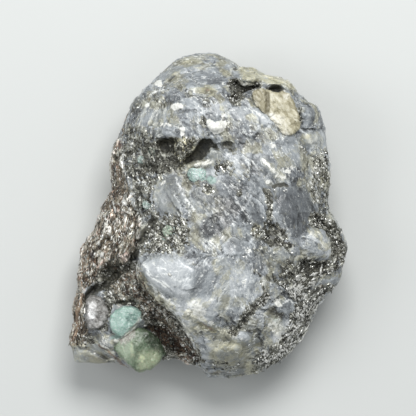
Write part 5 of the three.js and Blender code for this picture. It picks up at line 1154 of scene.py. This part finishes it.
grey_flake = flake_material("mica_grey", srgb(22, 21, 19), srgb(80, 79, 70), srgb(190, 190, 180), 0.26, 0.45)
brown_flake = flake_material("mica_brown", srgb(34, 29, 24), srgb(104, 93, 78), srgb(206, 200, 184), 0.28, 0.4)
silver_flake = flake_material("mica_silver", srgb(150, 150, 144), srgb(210, 210, 204), srgb(244, 244, 240), 0.22, 0.8)
open_mica = np.clip(mica * 1.3 - 0.35, 0, 1) * (1 - 0.9 * shade) * (1 - 0.7 * white)
flakes("mica_flakes_face", 5200, open_mica * face * (1 - 0.8 * brown), (0.16, 0.55), grey_flake, 3)
flakes("mica_flakes_brown", 3400, open_mica * (0.25 + face) * brown, (0.14, 0.5), brown_flake, 4, 18)
flakes("mica_flakes_side", 5200, open_mica * (1 - face) * (1 - 0.85 * rim_share) * (1.05 - brown) * smooth(0.3, 1.5, co[:, 2]), (0.16, 0.5), grey_flake, 5, 12)
flakes("mica_flakes_silver", 3000, (open_mica * (0.4 + 0.6 * face) * (1 - 0.85 * smooth(128, 136, pu) * smooth(205, 196, pu) * smooth(186, 176, pv)) + 0.005) * smooth(0.3, 1.5, co[:, 2]), (0.08, 0.32), silver_flake, 6, 22, 1.0)

streaky = smooth(252, 268, pu) * smooth(262, 282, pv) * smooth(0.45, 0.75, mica) * (1 - 0.95 * shade)
flakes("mica_flakes_long", 300, streaky * face + 1e-9, (0.16, 0.40), silver_flake, 12, 16, 1.6, 1.9)
flakes("mica_flakes_black", 420, streaky * face + 1e-9, (0.15, 0.34), grey_flake, 13, 14, 0.0, 1.9)

# Single bright plates that show as glints: [u, v, u, v, half width in mm].
GLINTS = [
    (115, 200, 119, 215, .26), (126, 198, 128, 206, .75), (127, 210, 126, 218, .24), (108, 219, 112, 222, .24), (114, 232, 112, 240, .25), (121, 235, 121, 238, .25),
    (96, 251, 95, 256, .22), (103, 252, 104, 258, .5), (90, 269, 90, 275, .22), (119, 250, 119, 254, .25), (161, 187, 165, 181, .25), (158, 174, 158, 177, .2),
    (142, 181, 143, 184, .25), (109, 290, 113.5, 296, .34), (122.5, 298.3, 126, 299.8, .3), (157, 314, 157.6, 315.4, .28), (144.3, 324, 145, 326, .24), (175, 347.6, 175.6, 349.6, .3),
    (205, 189, 206.5, 191.5, .3), (274, 188.5, 274.6, 190, .26), (283.5, 190.5, 285, 191.5, .26), (286, 188.5, 286.6, 190, .24), (315, 167, 315.8, 169, .22),
    (317, 172.4, 318.4, 174, .34), (212, 225.5, 213, 227, .2), (262, 216, 263, 219, .22), (101, 240, 100, 246, .24), (106, 232, 105, 238, .22), (94, 262, 95, 268, .24),
    (117, 224, 116, 230, .2), (131, 206, 131, 211, .2), (146, 176, 148, 179, .22), (136, 172, 138, 176, .2), (152, 205, 154, 208, .2), (170, 222, 172, 225, .22),
    (178, 236, 180, 240, .22), (165, 244, 168, 247, .22), (323, 226, 327, 229, .2), (336, 240, 337, 245, .2), (312, 262, 316, 263, .2), (326, 264, 330, 266, .2),
    (301, 296, 303, 300, .22), (309, 304, 311, 308, .2), (292, 330, 294, 334, .22), (283, 344, 286, 347, .2), (270, 354, 273, 357, .2), (298, 316, 299, 320, .2),
    (297, 306, 295.5, 309, .32), (300, 316, 298.5, 319, .3), (303, 304, 302, 307, .28), (308, 312, 306.5, 315, .3), (315, 304, 314, 306, .26), (314, 297, 312.5, 300, .28),
    (305, 297, 304, 300, .3), (325, 287, 324, 289, .24), (300, 322, 299, 325, .28), (294, 329, 292.5, 332, .3), (280, 354, 278.5, 356, .28), (285, 352, 284, 354, .26),
    (272, 350, 270.5, 353, .28), (268, 362, 267, 364, .24), (318, 291, 317, 294, .26), (310, 290, 308.5, 293, .3), (296, 299, 295, 302, .26), (290, 318, 289, 321, .26),
    (288, 342, 286.5, 345, .28), (276, 344, 275, 346, .24), (265, 356, 264, 359, .26), (303, 310, 301.5, 313, .3), (321, 296, 320, 298, .24), (306, 320, 305, 323, .24),
    (298, 336, 297, 338, .24), (284, 360, 283, 362, .22), (312, 283, 311, 285, .24), (302, 288, 301, 291, .26),
    (133, 286, 135, 290, .2), (150, 300, 152, 303, .2), (166, 318, 168, 321, .2), (184, 334, 186, 337, .2), (192, 350, 194, 353, .2), (131, 271, 134, 273, .2),
]


def nearest_vertex(u, v):
    ok = (np.abs(pu - u) < 3) & (np.abs(pv - v) < 3) & (co[:, 2] > 6)
    i = np.flatnonzero(ok)
    return i[np.argmin(np.hypot(pu[i] - u, pv[i] - v) - 0.05 * co[i, 2])]


gp, gn, gx, gr, gl = [], [], [], [], []
for u0, v0, u1, v1, half in GLINTS:
    i = nearest_vertex((u0 + u1) / 2, (v0 + v1) / 2)
    length = max(math.hypot(u1 - u0, v1 - v0) * UNIT / 2, half)
    gx.append([u1 - u0, v0 - v1, 0.001])
    gn.append([0.04, 0.23, 0.97])
    gp.append(co[i] + [0, 0, 0.26])
    gr.append(half)
    gl.append(length / half)
gn = np.array(gn) + 0.10 * np.random.default_rng(9).normal(size=(len(gn), 3))
plates("mica_glints", np.array(gp), gn / np.linalg.norm(gn, axis=1)[:, None], np.array(gx), np.array(gr), np.array(gl), silver_flake, 9)


# -------------------------------------------------------------- the crystals
def resampled(pts, n):
    p = np.array(pts + pts[:1], float)
    d = np.concatenate([[0], np.cumsum(np.hypot(*np.diff(p, axis=0).T))])
    t = np.linspace(0, d[-1], n, endpoint=False)
    return np.column_stack([np.interp(t, d, p[:, 0]), np.interp(t, d, p[:, 1])])


def grown(outline, top, bottom, edge=0.5, taper=0.9, n=220):
    """A closed body with the outline the camera sees, a top of any shape and steep sides."""
    o = resampled(outline, n)
    c = o.mean(0)
    ts = np.concatenate([np.linspace(0.02, 0.86, 22), 0.86 + 0.14 * np.sin(np.linspace(0.1, 1, 9) * np.pi / 2)])
    rows = []
    for t in ts:
        q = c + (o - c) * t
        z = top(q[:, 0], q[:, 1])
        k = np.clip((t - 0.86) / 0.14, 0, 1)
        z = z - edge * (1 - np.sqrt(np.clip(1 - k * k, 0, 1)))
        rows.append(np.column_stack([q, z]))
    rim = rows[-1]
    for t in np.linspace(0.06, 1, 16):
        share = 1 - (1 - taper) * t
        rows.append(np.column_stack([c + (o - c) * share, rim[:, 2] + (bottom - rim[:, 2]) * t]))
    for t in np.linspace(0.8, 0.05, 8):
        rows.append(np.column_stack([c + (o - c) * taper * t, np.full(n, float(bottom))]))
    p = np.vstack([np.mean(rows[0], 0, keepdims=True)] + rows + [np.array([[c[0], c[1], bottom]])])
    k = CAM_DIST * 1000 / (CAM_DIST * 1000 - (np.maximum(p[:, 2], rim[:, 2].mean()) - PLANE_Z * 1000))
    u, v = 208 + (p[:, 0] - 208) / k, 208 + (p[:, 1] - 208) / k
    x, y = plan_xy(u, v)
    m = len(rows)
    i, j = np.meshgrid(np.arange(m - 1), np.arange(n), indexing="ij")
    vid = lambda r, q: 1 + r * n + q % n
    quad = np.stack([vid(i, j), vid(i + 1, j), vid(i + 1, j + 1), vid(i, j + 1)], -1).reshape(-1, 4)
    q = np.arange(n)
    tri_ = np.vstack([quad[:, [0, 1, 2]], quad[:, [0, 2, 3]], np.stack([np.zeros(n, int), vid(0, q), vid(0, q + 1)], 1),
                      np.stack([np.full(n, 1 + m * n), vid(m - 1, q + 1), vid(m - 1, q)], 1)])
    P = np.column_stack([x, y, p[:, 2]])
    vol = np.einsum("ij,ij->i", P[tri_[:, 0]], np.cross(P[tri_[:, 1]], P[tri_[:, 2]])).sum()
    return P, tri_ if vol > 0 else tri_[:, ::-1]


def crystal(name, shape, mat, voxel, swell=0.0, facet=0.12, cell=1.6, soft=1, grit=0.03, seed=0, fields=None):
    """A crystal with worn edges, broken faces and fine grit."""
    c, t = shape
    me = remeshed(name + "_even", c, t, voxel)
    bm = bmesh.new()
    bm.from_mesh(me)
    bmesh.ops.triangulate(bm, faces=bm.faces[:])
    bm.to_mesh(me)
    bm.free()
    c, t = arrays(me)
    bpy.data.meshes.remove(me)
    c = averaged(c, t, soft)
    n = normals(c, t)
    k = cells(c + 0.25 * np.column_stack([noise(c, 1, seed), noise(c, 1, seed + 1), noise(c, 1, seed + 2)]), cell, seed + 3)
    kk = cells(c, cell * 0.45, seed + 4)
    dd = swell + facet * tilt(k, 1.5) + facet * 0.8 * tilt(kk, 1.5) - 0.5 * facet * smooth(0.16, 0, k[1] - k[0]) + grit * fbm(c, 0.6, 3, seed + 5)
    c = c + n * dd[:, None]
    return add_piece(name + "_crystal", c, t, mat, name, fields(c) if fields else None)


def emerald_material(name, deep, mid, pale, veil, cloudy, trans, rough=0.3, mottle=1.0):
    n = Nodes(name)
    n1, n2, n3 = n.noise(0.55, 3, 0.6), n.noise(2.0, 4, 0.6), n.noise(5.0, 2, 0.6)
    warped = n.vec("ADD", n.mm, n.vec("SCALE", n.noise(1.6, 2, color=True), scale=0.7))
    blot = n.sep(n.cells(1.5, where=warped))
    crack = n.cells(0.85, where=warped, feature="DISTANCE_TO_EDGE", out="Distance")
    fine = n.cells(2.4, where=warped, feature="DISTANCE_TO_EDGE", out="Distance")
    k = n.add(0.5, n.off(n1, 1.0 * mottle), n.off(n2, 0.7 * mottle), n.off(n3, 0.25 * mottle), n.off(blot[0], 0.22 * mottle), n.attr("light"))
    col = n.ramp(k, [(0.1, deep), (0.5, mid), (0.9, pale)])
    line = n.math("MAXIMUM", n.step(crack, 0.10, 0.0), n.mul(n.step(fine, 0.07, 0.0), 0.6))
    veins = n.mul(line, n.step(n2, 0.42, 0.62))
    col = n.mix(n.mul(veins, cloudy), col, veil)
    spots = n.step(n.noise(1.1, 2, 0.5), 0.64, 0.76)
    col = n.mix(n.mul(spots, 0.6), col, n.mix(0.5, veil, pale))
    dark = n.step(n.noise(2.2, 2, 0.5), 0.68, 0.80)
    col = n.mix(n.mul(dark, 0.5), col, deep)
    col = n.mix(n.attr("seam"), col, n.ramp(n2, [(0.3, srgb(122, 116, 108)), (0.6, srgb(186, 184, 176))]))
    col = n.mix(n.attr("cream"), col, srgb(206, 212, 176))
    n.set("Base Color", col)
    n.set("Roughness", n.add(rough, n.off(n3, 0.35), n.mul(veins, 0.15)))
    n.set("Subsurface Weight", 0.5)
    n.set("Subsurface Radius", (0.6, 1.0, 0.8))
    n.set("Subsurface Scale", 0.0008)
    n.set("Transmission Weight", trans)
    n.set("IOR", 1.57)
    b = n.bump(n.add(n.mul(n2, 0.6), n.mul(n3, 0.4), n.mul(line, -0.3)), 0.10, 0.6)
    n.set("Normal", n.tilted(b, n.cells(1.5, where=warped), 0.13))
    return n.mat


teal = emerald_material("emerald_pale", srgb(96, 124, 115), srgb(136, 163, 153), srgb(170, 192, 184), srgb(208, 217, 210), 0.6, 0.06, mottle=0.8)
green = emerald_material("emerald_deep", srgb(52, 63, 46), srgb(96, 111, 89), srgb(142, 156, 134), srgb(184, 193, 172), 0.3, 0.12, mottle=0.5)
faint = emerald_material("emerald_faint", srgb(88, 100, 94), srgb(136, 152, 145), srgb(176, 190, 183), srgb(208, 214, 208), 0.8, 0.05, mottle=1.4)
faint_green = emerald_material("emerald_faint_green", srgb(84, 92, 80), srgb(126, 140, 122), srgb(168, 180, 162), srgb(204, 210, 198), 0.8, 0.05, mottle=1.4)
milky = emerald_material("emerald_milky", srgb(104, 126, 119), srgb(148, 170, 163), srgb(190, 205, 200), srgb(214, 221, 217), 0.7, 0.10, mottle=0.9)


def marks(c, light=(), seam=(), cream=()):
    """Lighter and darker parts (some of them painted highlights and painted shade), grey seams and cream spots of a
    crystal, by where they are seen.
    """
    uu, vv = seen(*to_plan(c), c[:, 2])
    uu, vv = uu + 1.0 * noise(c, 1.0, 5) + 0.8 * noise(c, 0.5, 7), vv + 1.0 * noise(c, 1.0, 6) + 0.8 * noise(c, 0.5, 8)
    out = {"light": np.zeros(len(c)), "seam": np.zeros(len(c)), "cream": np.zeros(len(c))}
    for k, edge, pts in light:
        out["light"] += k * (1 - smooth(-edge, edge, poly_dist(uu, vv, pts)))
    for key, group in (("seam", seam), ("cream", cream)):
        for k, edge, pts in group:
            out[key] = np.maximum(out[key], k * (1 - smooth(-edge, edge, poly_dist(uu, vv, pts))))
    return out


def ring(u, v, r, n=12):
    return [(u + r * math.cos(i * 2 * math.pi / n), v + r * math.sin(i * 2 * math.pi / n)) for i in range(n)]


def teal_top(u, v):
    z = np.minimum(19.3, 19.5 - 0.055 * (u - 128))
    z = np.minimum(z, 19.6 - 0.060 * (v - 322))
    z = np.minimum(z, 19.4 - 0.10 * ((u - 124) + (v - 320) - 12))      # falls to the seam
    return np.minimum(z, 19.4 + 0.05 * (v - 314)) - 0.010 * (121 - u).clip(0)


# Painted light: the teal crystal's first light mark lightens its upper left, the side turned to the lamp; its dark ring
# is an inclusion.
crystal("emerald_teal", grown(TEAL, teal_top, 13.2, 0.9),
        teal, 0.14, facet=0.06, cell=1.1, seed=201,
        fields=lambda c: marks(c, light=[(.25, 3, [(112, 316), (124, 311), (127, 322), (118, 332), (111, 326)]), (-.8, .8, ring(130.6, 314.4, 1.5)), (-.35, 2, [(126, 317), (136, 314), (140, 318), (134, 323), (126, 322)])],
                               seam=[(.75, 2.2, [(130, 329), (137, 321), (144, 313), (148, 320), (134, 334), (122, 341), (119, 339)])]))


def green_top(u, v):
    z = np.minimum(18.9 - 0.11 * (u - 141), 17.9 + 0.085 * (u - 122))
    z = np.minimum(z, 18.9 - 0.10 * (v - 350))
    return np.minimum(z, 18.5 + 0.10 * (v - 338))


# Painted shade: the green crystal's second light mark (-.5) darkens its right part, partly for its deeper colour and
# partly as the shade under the quartz ledge.
crystal("emerald_green", grown(GREEN, green_top, 9.6, 1.3, 0.86),
        green, 0.17, facet=0.07, cell=1.8, seed=211,
        fields=lambda c: marks(c, light=[(.5, 3, [(116, 344), (124, 338), (132, 339), (134, 352), (131, 364), (122, 358)]), (-.5, 5, [(143, 331), (156, 333), (166, 346), (165, 356), (154, 352), (148, 342)]),
                                         (.15, 3, [(132, 352), (150, 355), (148, 368), (136, 369)]), (.9, .9, ring(126, 361, 1.3)), (.3, 1.5, ring(152, 359, 2.0))],
                               seam=[(.85, 2, [(119, 339), (126, 333), (134, 329), (136, 336), (129, 342), (121, 345)]), (.5, 1.2, [(112, 349), (119, 356), (128, 364), (135, 370), (135, 374), (110, 356)])],
                               cream=[(.85, 1.2, ring(142.3, 358.3, 3.2)), (.3, 4, [(138, 352), (158, 350), (162, 362), (148, 372), (138, 372)]), (.35, 1.2, [(130, 342), (132, 342), (134, 356), (131, 358)])]))
# Painted highlight: the vug crystal's two light rings brighten its middle.
crystal("emerald_vug", grown(VUG,
                             lambda u, v: np.minimum(np.minimum(26.1, 26.4 - 0.07 * (v - 172)), 26.3 - 0.05 * np.abs(u - 197)), 23.3, 0.5),
        milky, 0.09, facet=0.10, cell=1.0, seed=221, fields=lambda c: marks(c, light=[(.2, 2.5, ring(198, 173, 6)), (.8, .8, ring(196, 172, 1.3)), (-.25, 2, [(184, 170), (192, 168), (192, 182), (184, 180)])]))
crystal("emerald_grain_left", grown(GRAIN_LEFT,
                                    lambda u, v: 23.75 - 0.05 * (u - 147), 21.7, 0.4),
        faint, 0.07, facet=0.08, cell=0.7, seed=231, fields=lambda c: marks(c, light=[(-.1, 3, ring(147, 205, 7))]))
crystal("emerald_grain_low", grown(GRAIN_LOW,
                                   lambda u, v: 26.15 - 0.04 * (u - 168), 24.1, 0.4),
        faint_green, 0.07, facet=0.08, cell=0.7, seed=241, fields=lambda c: marks(c, light=[(.1, 3, ring(168, 231, 8))]))
crystal("emerald_grain_high", grown(GRAIN_HIGH,
                                    lambda u, v: 21.05 + 0.05 * (u - 142), 19.2, 0.4),
        faint, 0.07, facet=0.08, cell=0.7, seed=251, fields=lambda c: marks(c, light=[(-.25, 3, ring(142, 160, 8))]))


def feldspar_material():
    n = Nodes("feldspar_tan")
    n1, n2, n3 = n.noise(0.5, 3), n.noise(2.2, 4, 0.6), n.noise(5, 2, 0.6)
    across = n.xyz(n.attr("fa"), n.attr("fb"), 0.0)
    stripes = n.noise(1.6, 3, 0.6, where=n.vec("MULTIPLY", across, (0.28, 1.0, 1.0)), distort=0.3)
    blot = n.sep(n.cells(1.6, where=n.vec("MULTIPLY", across, (0.5, 1.0, 1.0))))
    k = n.add(0.5, n.off(n1, 0.7), n.off(stripes, 1.1), n.off(n3, 0.5), n.off(blot[0], 0.35))
    tan = n.ramp(k, [(0.05, srgb(106, 99, 78)), (0.35, srgb(147, 141, 116)), (0.6, srgb(172, 167, 145)), (0.8, srgb(190, 186, 168)), (1.0, srgb(212, 210, 197))])
    cream = n.ramp(k, [(0.1, srgb(168, 163, 139)), (0.5, srgb(205, 202, 189)), (0.8, srgb(223, 222, 213))])
    col = n.mix(n.attr("cream"), tan, cream)
    col = n.mix(n.mul(n.attr("shadow"), 0.75), col, srgb(96, 90, 72))
    n.set("Base Color", col)
    n.set("Roughness", n.add(0.5, n.off(n3, 0.4)))
    b = n.bump(n.add(n.mul(stripes, 0.6), n.mul(n2, 0.5), n.mul(n3, 0.3)), 0.2, 0.9)
    n.set("Normal", n.tilted(b, n.cells(1.4), 0.3))
    return n.mat


def feldspar_fields(c):
    uu, vv = seen(*to_plan(c), c[:, 2])
    fa, fb = c[:, 0] * 0.64 - c[:, 1] * 0.77, c[:, 0] * 0.77 + c[:, 1] * 0.64
    uu, vv = uu + 1.0 * noise(c, 1.0, 5), vv + 1.0 * noise(c, 1.0, 6)
    cream = 1 - smooth(-2, 2, poly_dist(uu, vv, [(263, 112), (276, 113.5), (283, 118), (287, 127), (291, 137), (282, 137), (268, 124)]))
    cream = np.maximum(cream, 0.8 * (1 - smooth(-1.5, 1.5, poly_dist(uu, vv, ring(286.5, 96.5, 3.4)))))
    # Painted shadow: the mask below darkens the groove between the two lobes, more weakly the right border, and the
    # small left lobe.
    groove_shadow = 1 - smooth(0, 2.6, line_dist(uu, vv, [(267, 94), (267.5, 103), (267, 111)]) - 1.2)
    groove_shadow = np.maximum(groove_shadow, 0.6 * (1 - smooth(0, 2, line_dist(uu, vv, [(295, 103), (299, 112), (300.5, 122)]) - 0.6)))
    groove_shadow = np.maximum(groove_shadow, 0.3 * (1 - smooth(-2, 2, uu - 265.5)))
    return {"cream": cream, "shadow": groove_shadow, "fa": fa, "fb": fb}


def tan_top(u, v):
    z = 24.9 - 0.014 * (u - 275) + 0.022 * (v - 112)
    z = np.minimum(z, 25.0 - 0.045 * ((v - 116) - 0.9 * (u - 272)))      # the pale cleavage face
    z = np.minimum(z, 24.9 - 0.06 * (u - 293))
    return z - smooth(3.2, 0.4, np.abs(u - 267.3)) * 0.8


crystal("feldspar_tan", grown(TAN, tan_top, 20.0, 0.7, 0.92),
        feldspar_material(), 0.17, facet=0.14, cell=1.7, seed=261, fields=feldspar_fields)


def nodule_material():
    n = Nodes("quartz_nodule")
    n1, n2, n3 = n.noise(0.5, 3), n.noise(1.8, 4, 0.6), n.noise(5, 2, 0.6)
    c = n.cells(1.3)
    k = n.add(0.42, n.off(n1, 0.7), n.off(n2, 0.9), n.off(n3, 0.5), n.off(n.sep(c)[0], 0.3), n.attr("light"))
    n.set("Base Color", n.ramp(k, [(0.0, srgb(52, 51, 48)), (0.35, srgb(112, 110, 106)), (0.6, srgb(152, 151, 148)), (0.8, srgb(190, 189, 187)), (1.0, srgb(232, 233, 231))]))
    n.set("Roughness", n.add(0.31, n.off(n3, 0.3)))
    b = n.bump(n.add(n.mul(n2, 0.6), n.mul(n3, 0.4)), 0.25, 1.0)
    n.set("Normal", n.tilted(b, c, 0.6))
    return n.mat


# Painted glints: the nodule's first light mark whitens its left part, where it glints.
crystal("quartz_nodule", grown(NODULE,
                               lambda u, v: np.minimum(np.minimum(17.2, 17.5 - 0.10 * (u - 98)), 17.3 + 0.05 * (u - 90)) - 0.012 * np.abs(v - 312), 11.2, 1.4, 0.9),
        nodule_material(), 0.16, facet=0.16, cell=1.6, seed=271,
        fields=lambda c: marks(c, light=[(.38, 2, [(88, 303), (94, 301), (97, 308), (95, 320), (91, 324), (88, 316)]), (.02, 3, [(100, 300), (111, 306), (111, 320), (102, 328), (99, 314)])]))

# ------------------------------------------------------- floor, light, camera
floor = bpy.data.objects.new("floor", bpy.data.meshes.new("floor"))
bm = bmesh.new()
bmesh.ops.create_grid(bm, x_segments=1, y_segments=1, size=3.0)
bm.to_mesh(floor.data)
bm.free()
bpy.context.scene.collection.objects.link(floor)
fm = bpy.data.materials.new("floor")
fm.use_nodes = True
fb = fm.node_tree.nodes["Principled BSDF"]
fb.inputs["Base Color"].default_value = srgb(194, 196, 194)
fb.inputs["Roughness"].default_value = 0.9
fb.inputs["Specular IOR Level"].default_value = 0.2
floor.data.materials.append(fm)

world = bpy.data.worlds.new("world")
bpy.context.scene.world = world
world.use_nodes = True
bg = world.node_tree.nodes["Background"]
bg.inputs["Color"].default_value = (0.95, 0.98, 1.0, 1.0)
bg.inputs["Strength"].default_value = 0.5


def area(name, place, target, size, power, color=(1, 1, 1)):
    from mathutils import Vector
    li = bpy.data.lights.new(name, "AREA")
    li.shape, li.size, li.size_y, li.energy, li.color = "RECTANGLE", size[0], size[1], power, color
    ob = bpy.data.objects.new(name, li)
    bpy.context.scene.collection.objects.link(ob)
    d = Vector(target) - Vector(place)
    ob.location = place
    ob.rotation_mode = "QUATERNION"
    ob.rotation_quaternion = d.to_track_quat("-Z", "Y")
    return ob


area("key", (0.05, 0.23, 0.38), (0, 0, 0.012), (0.24, 0.20), 2.0)
area("side", (-0.35, 0.05, 0.40), (0, 0, 0.012), (0.25, 0.25), 0.7, (0.97, 0.98, 1.0))

cam = bpy.data.objects.new("camera", bpy.data.cameras.new("camera"))
bpy.context.scene.collection.objects.link(cam)
cam.data.sensor_width, cam.data.sensor_fit = 36.0, "AUTO"
cam.data.lens = 36.0 * CAM_DIST / (416 * UNIT / 1000)
cam.location = (centre_x / 1000, centre_y / 1000, PLANE_Z + CAM_DIST)
cam.data.clip_start, cam.data.clip_end = 0.05, 20
bpy.context.scene.camera = cam
bpy.context.scene.view_settings.view_transform = "Standard"
bpy.context.scene.view_settings.look = "None"
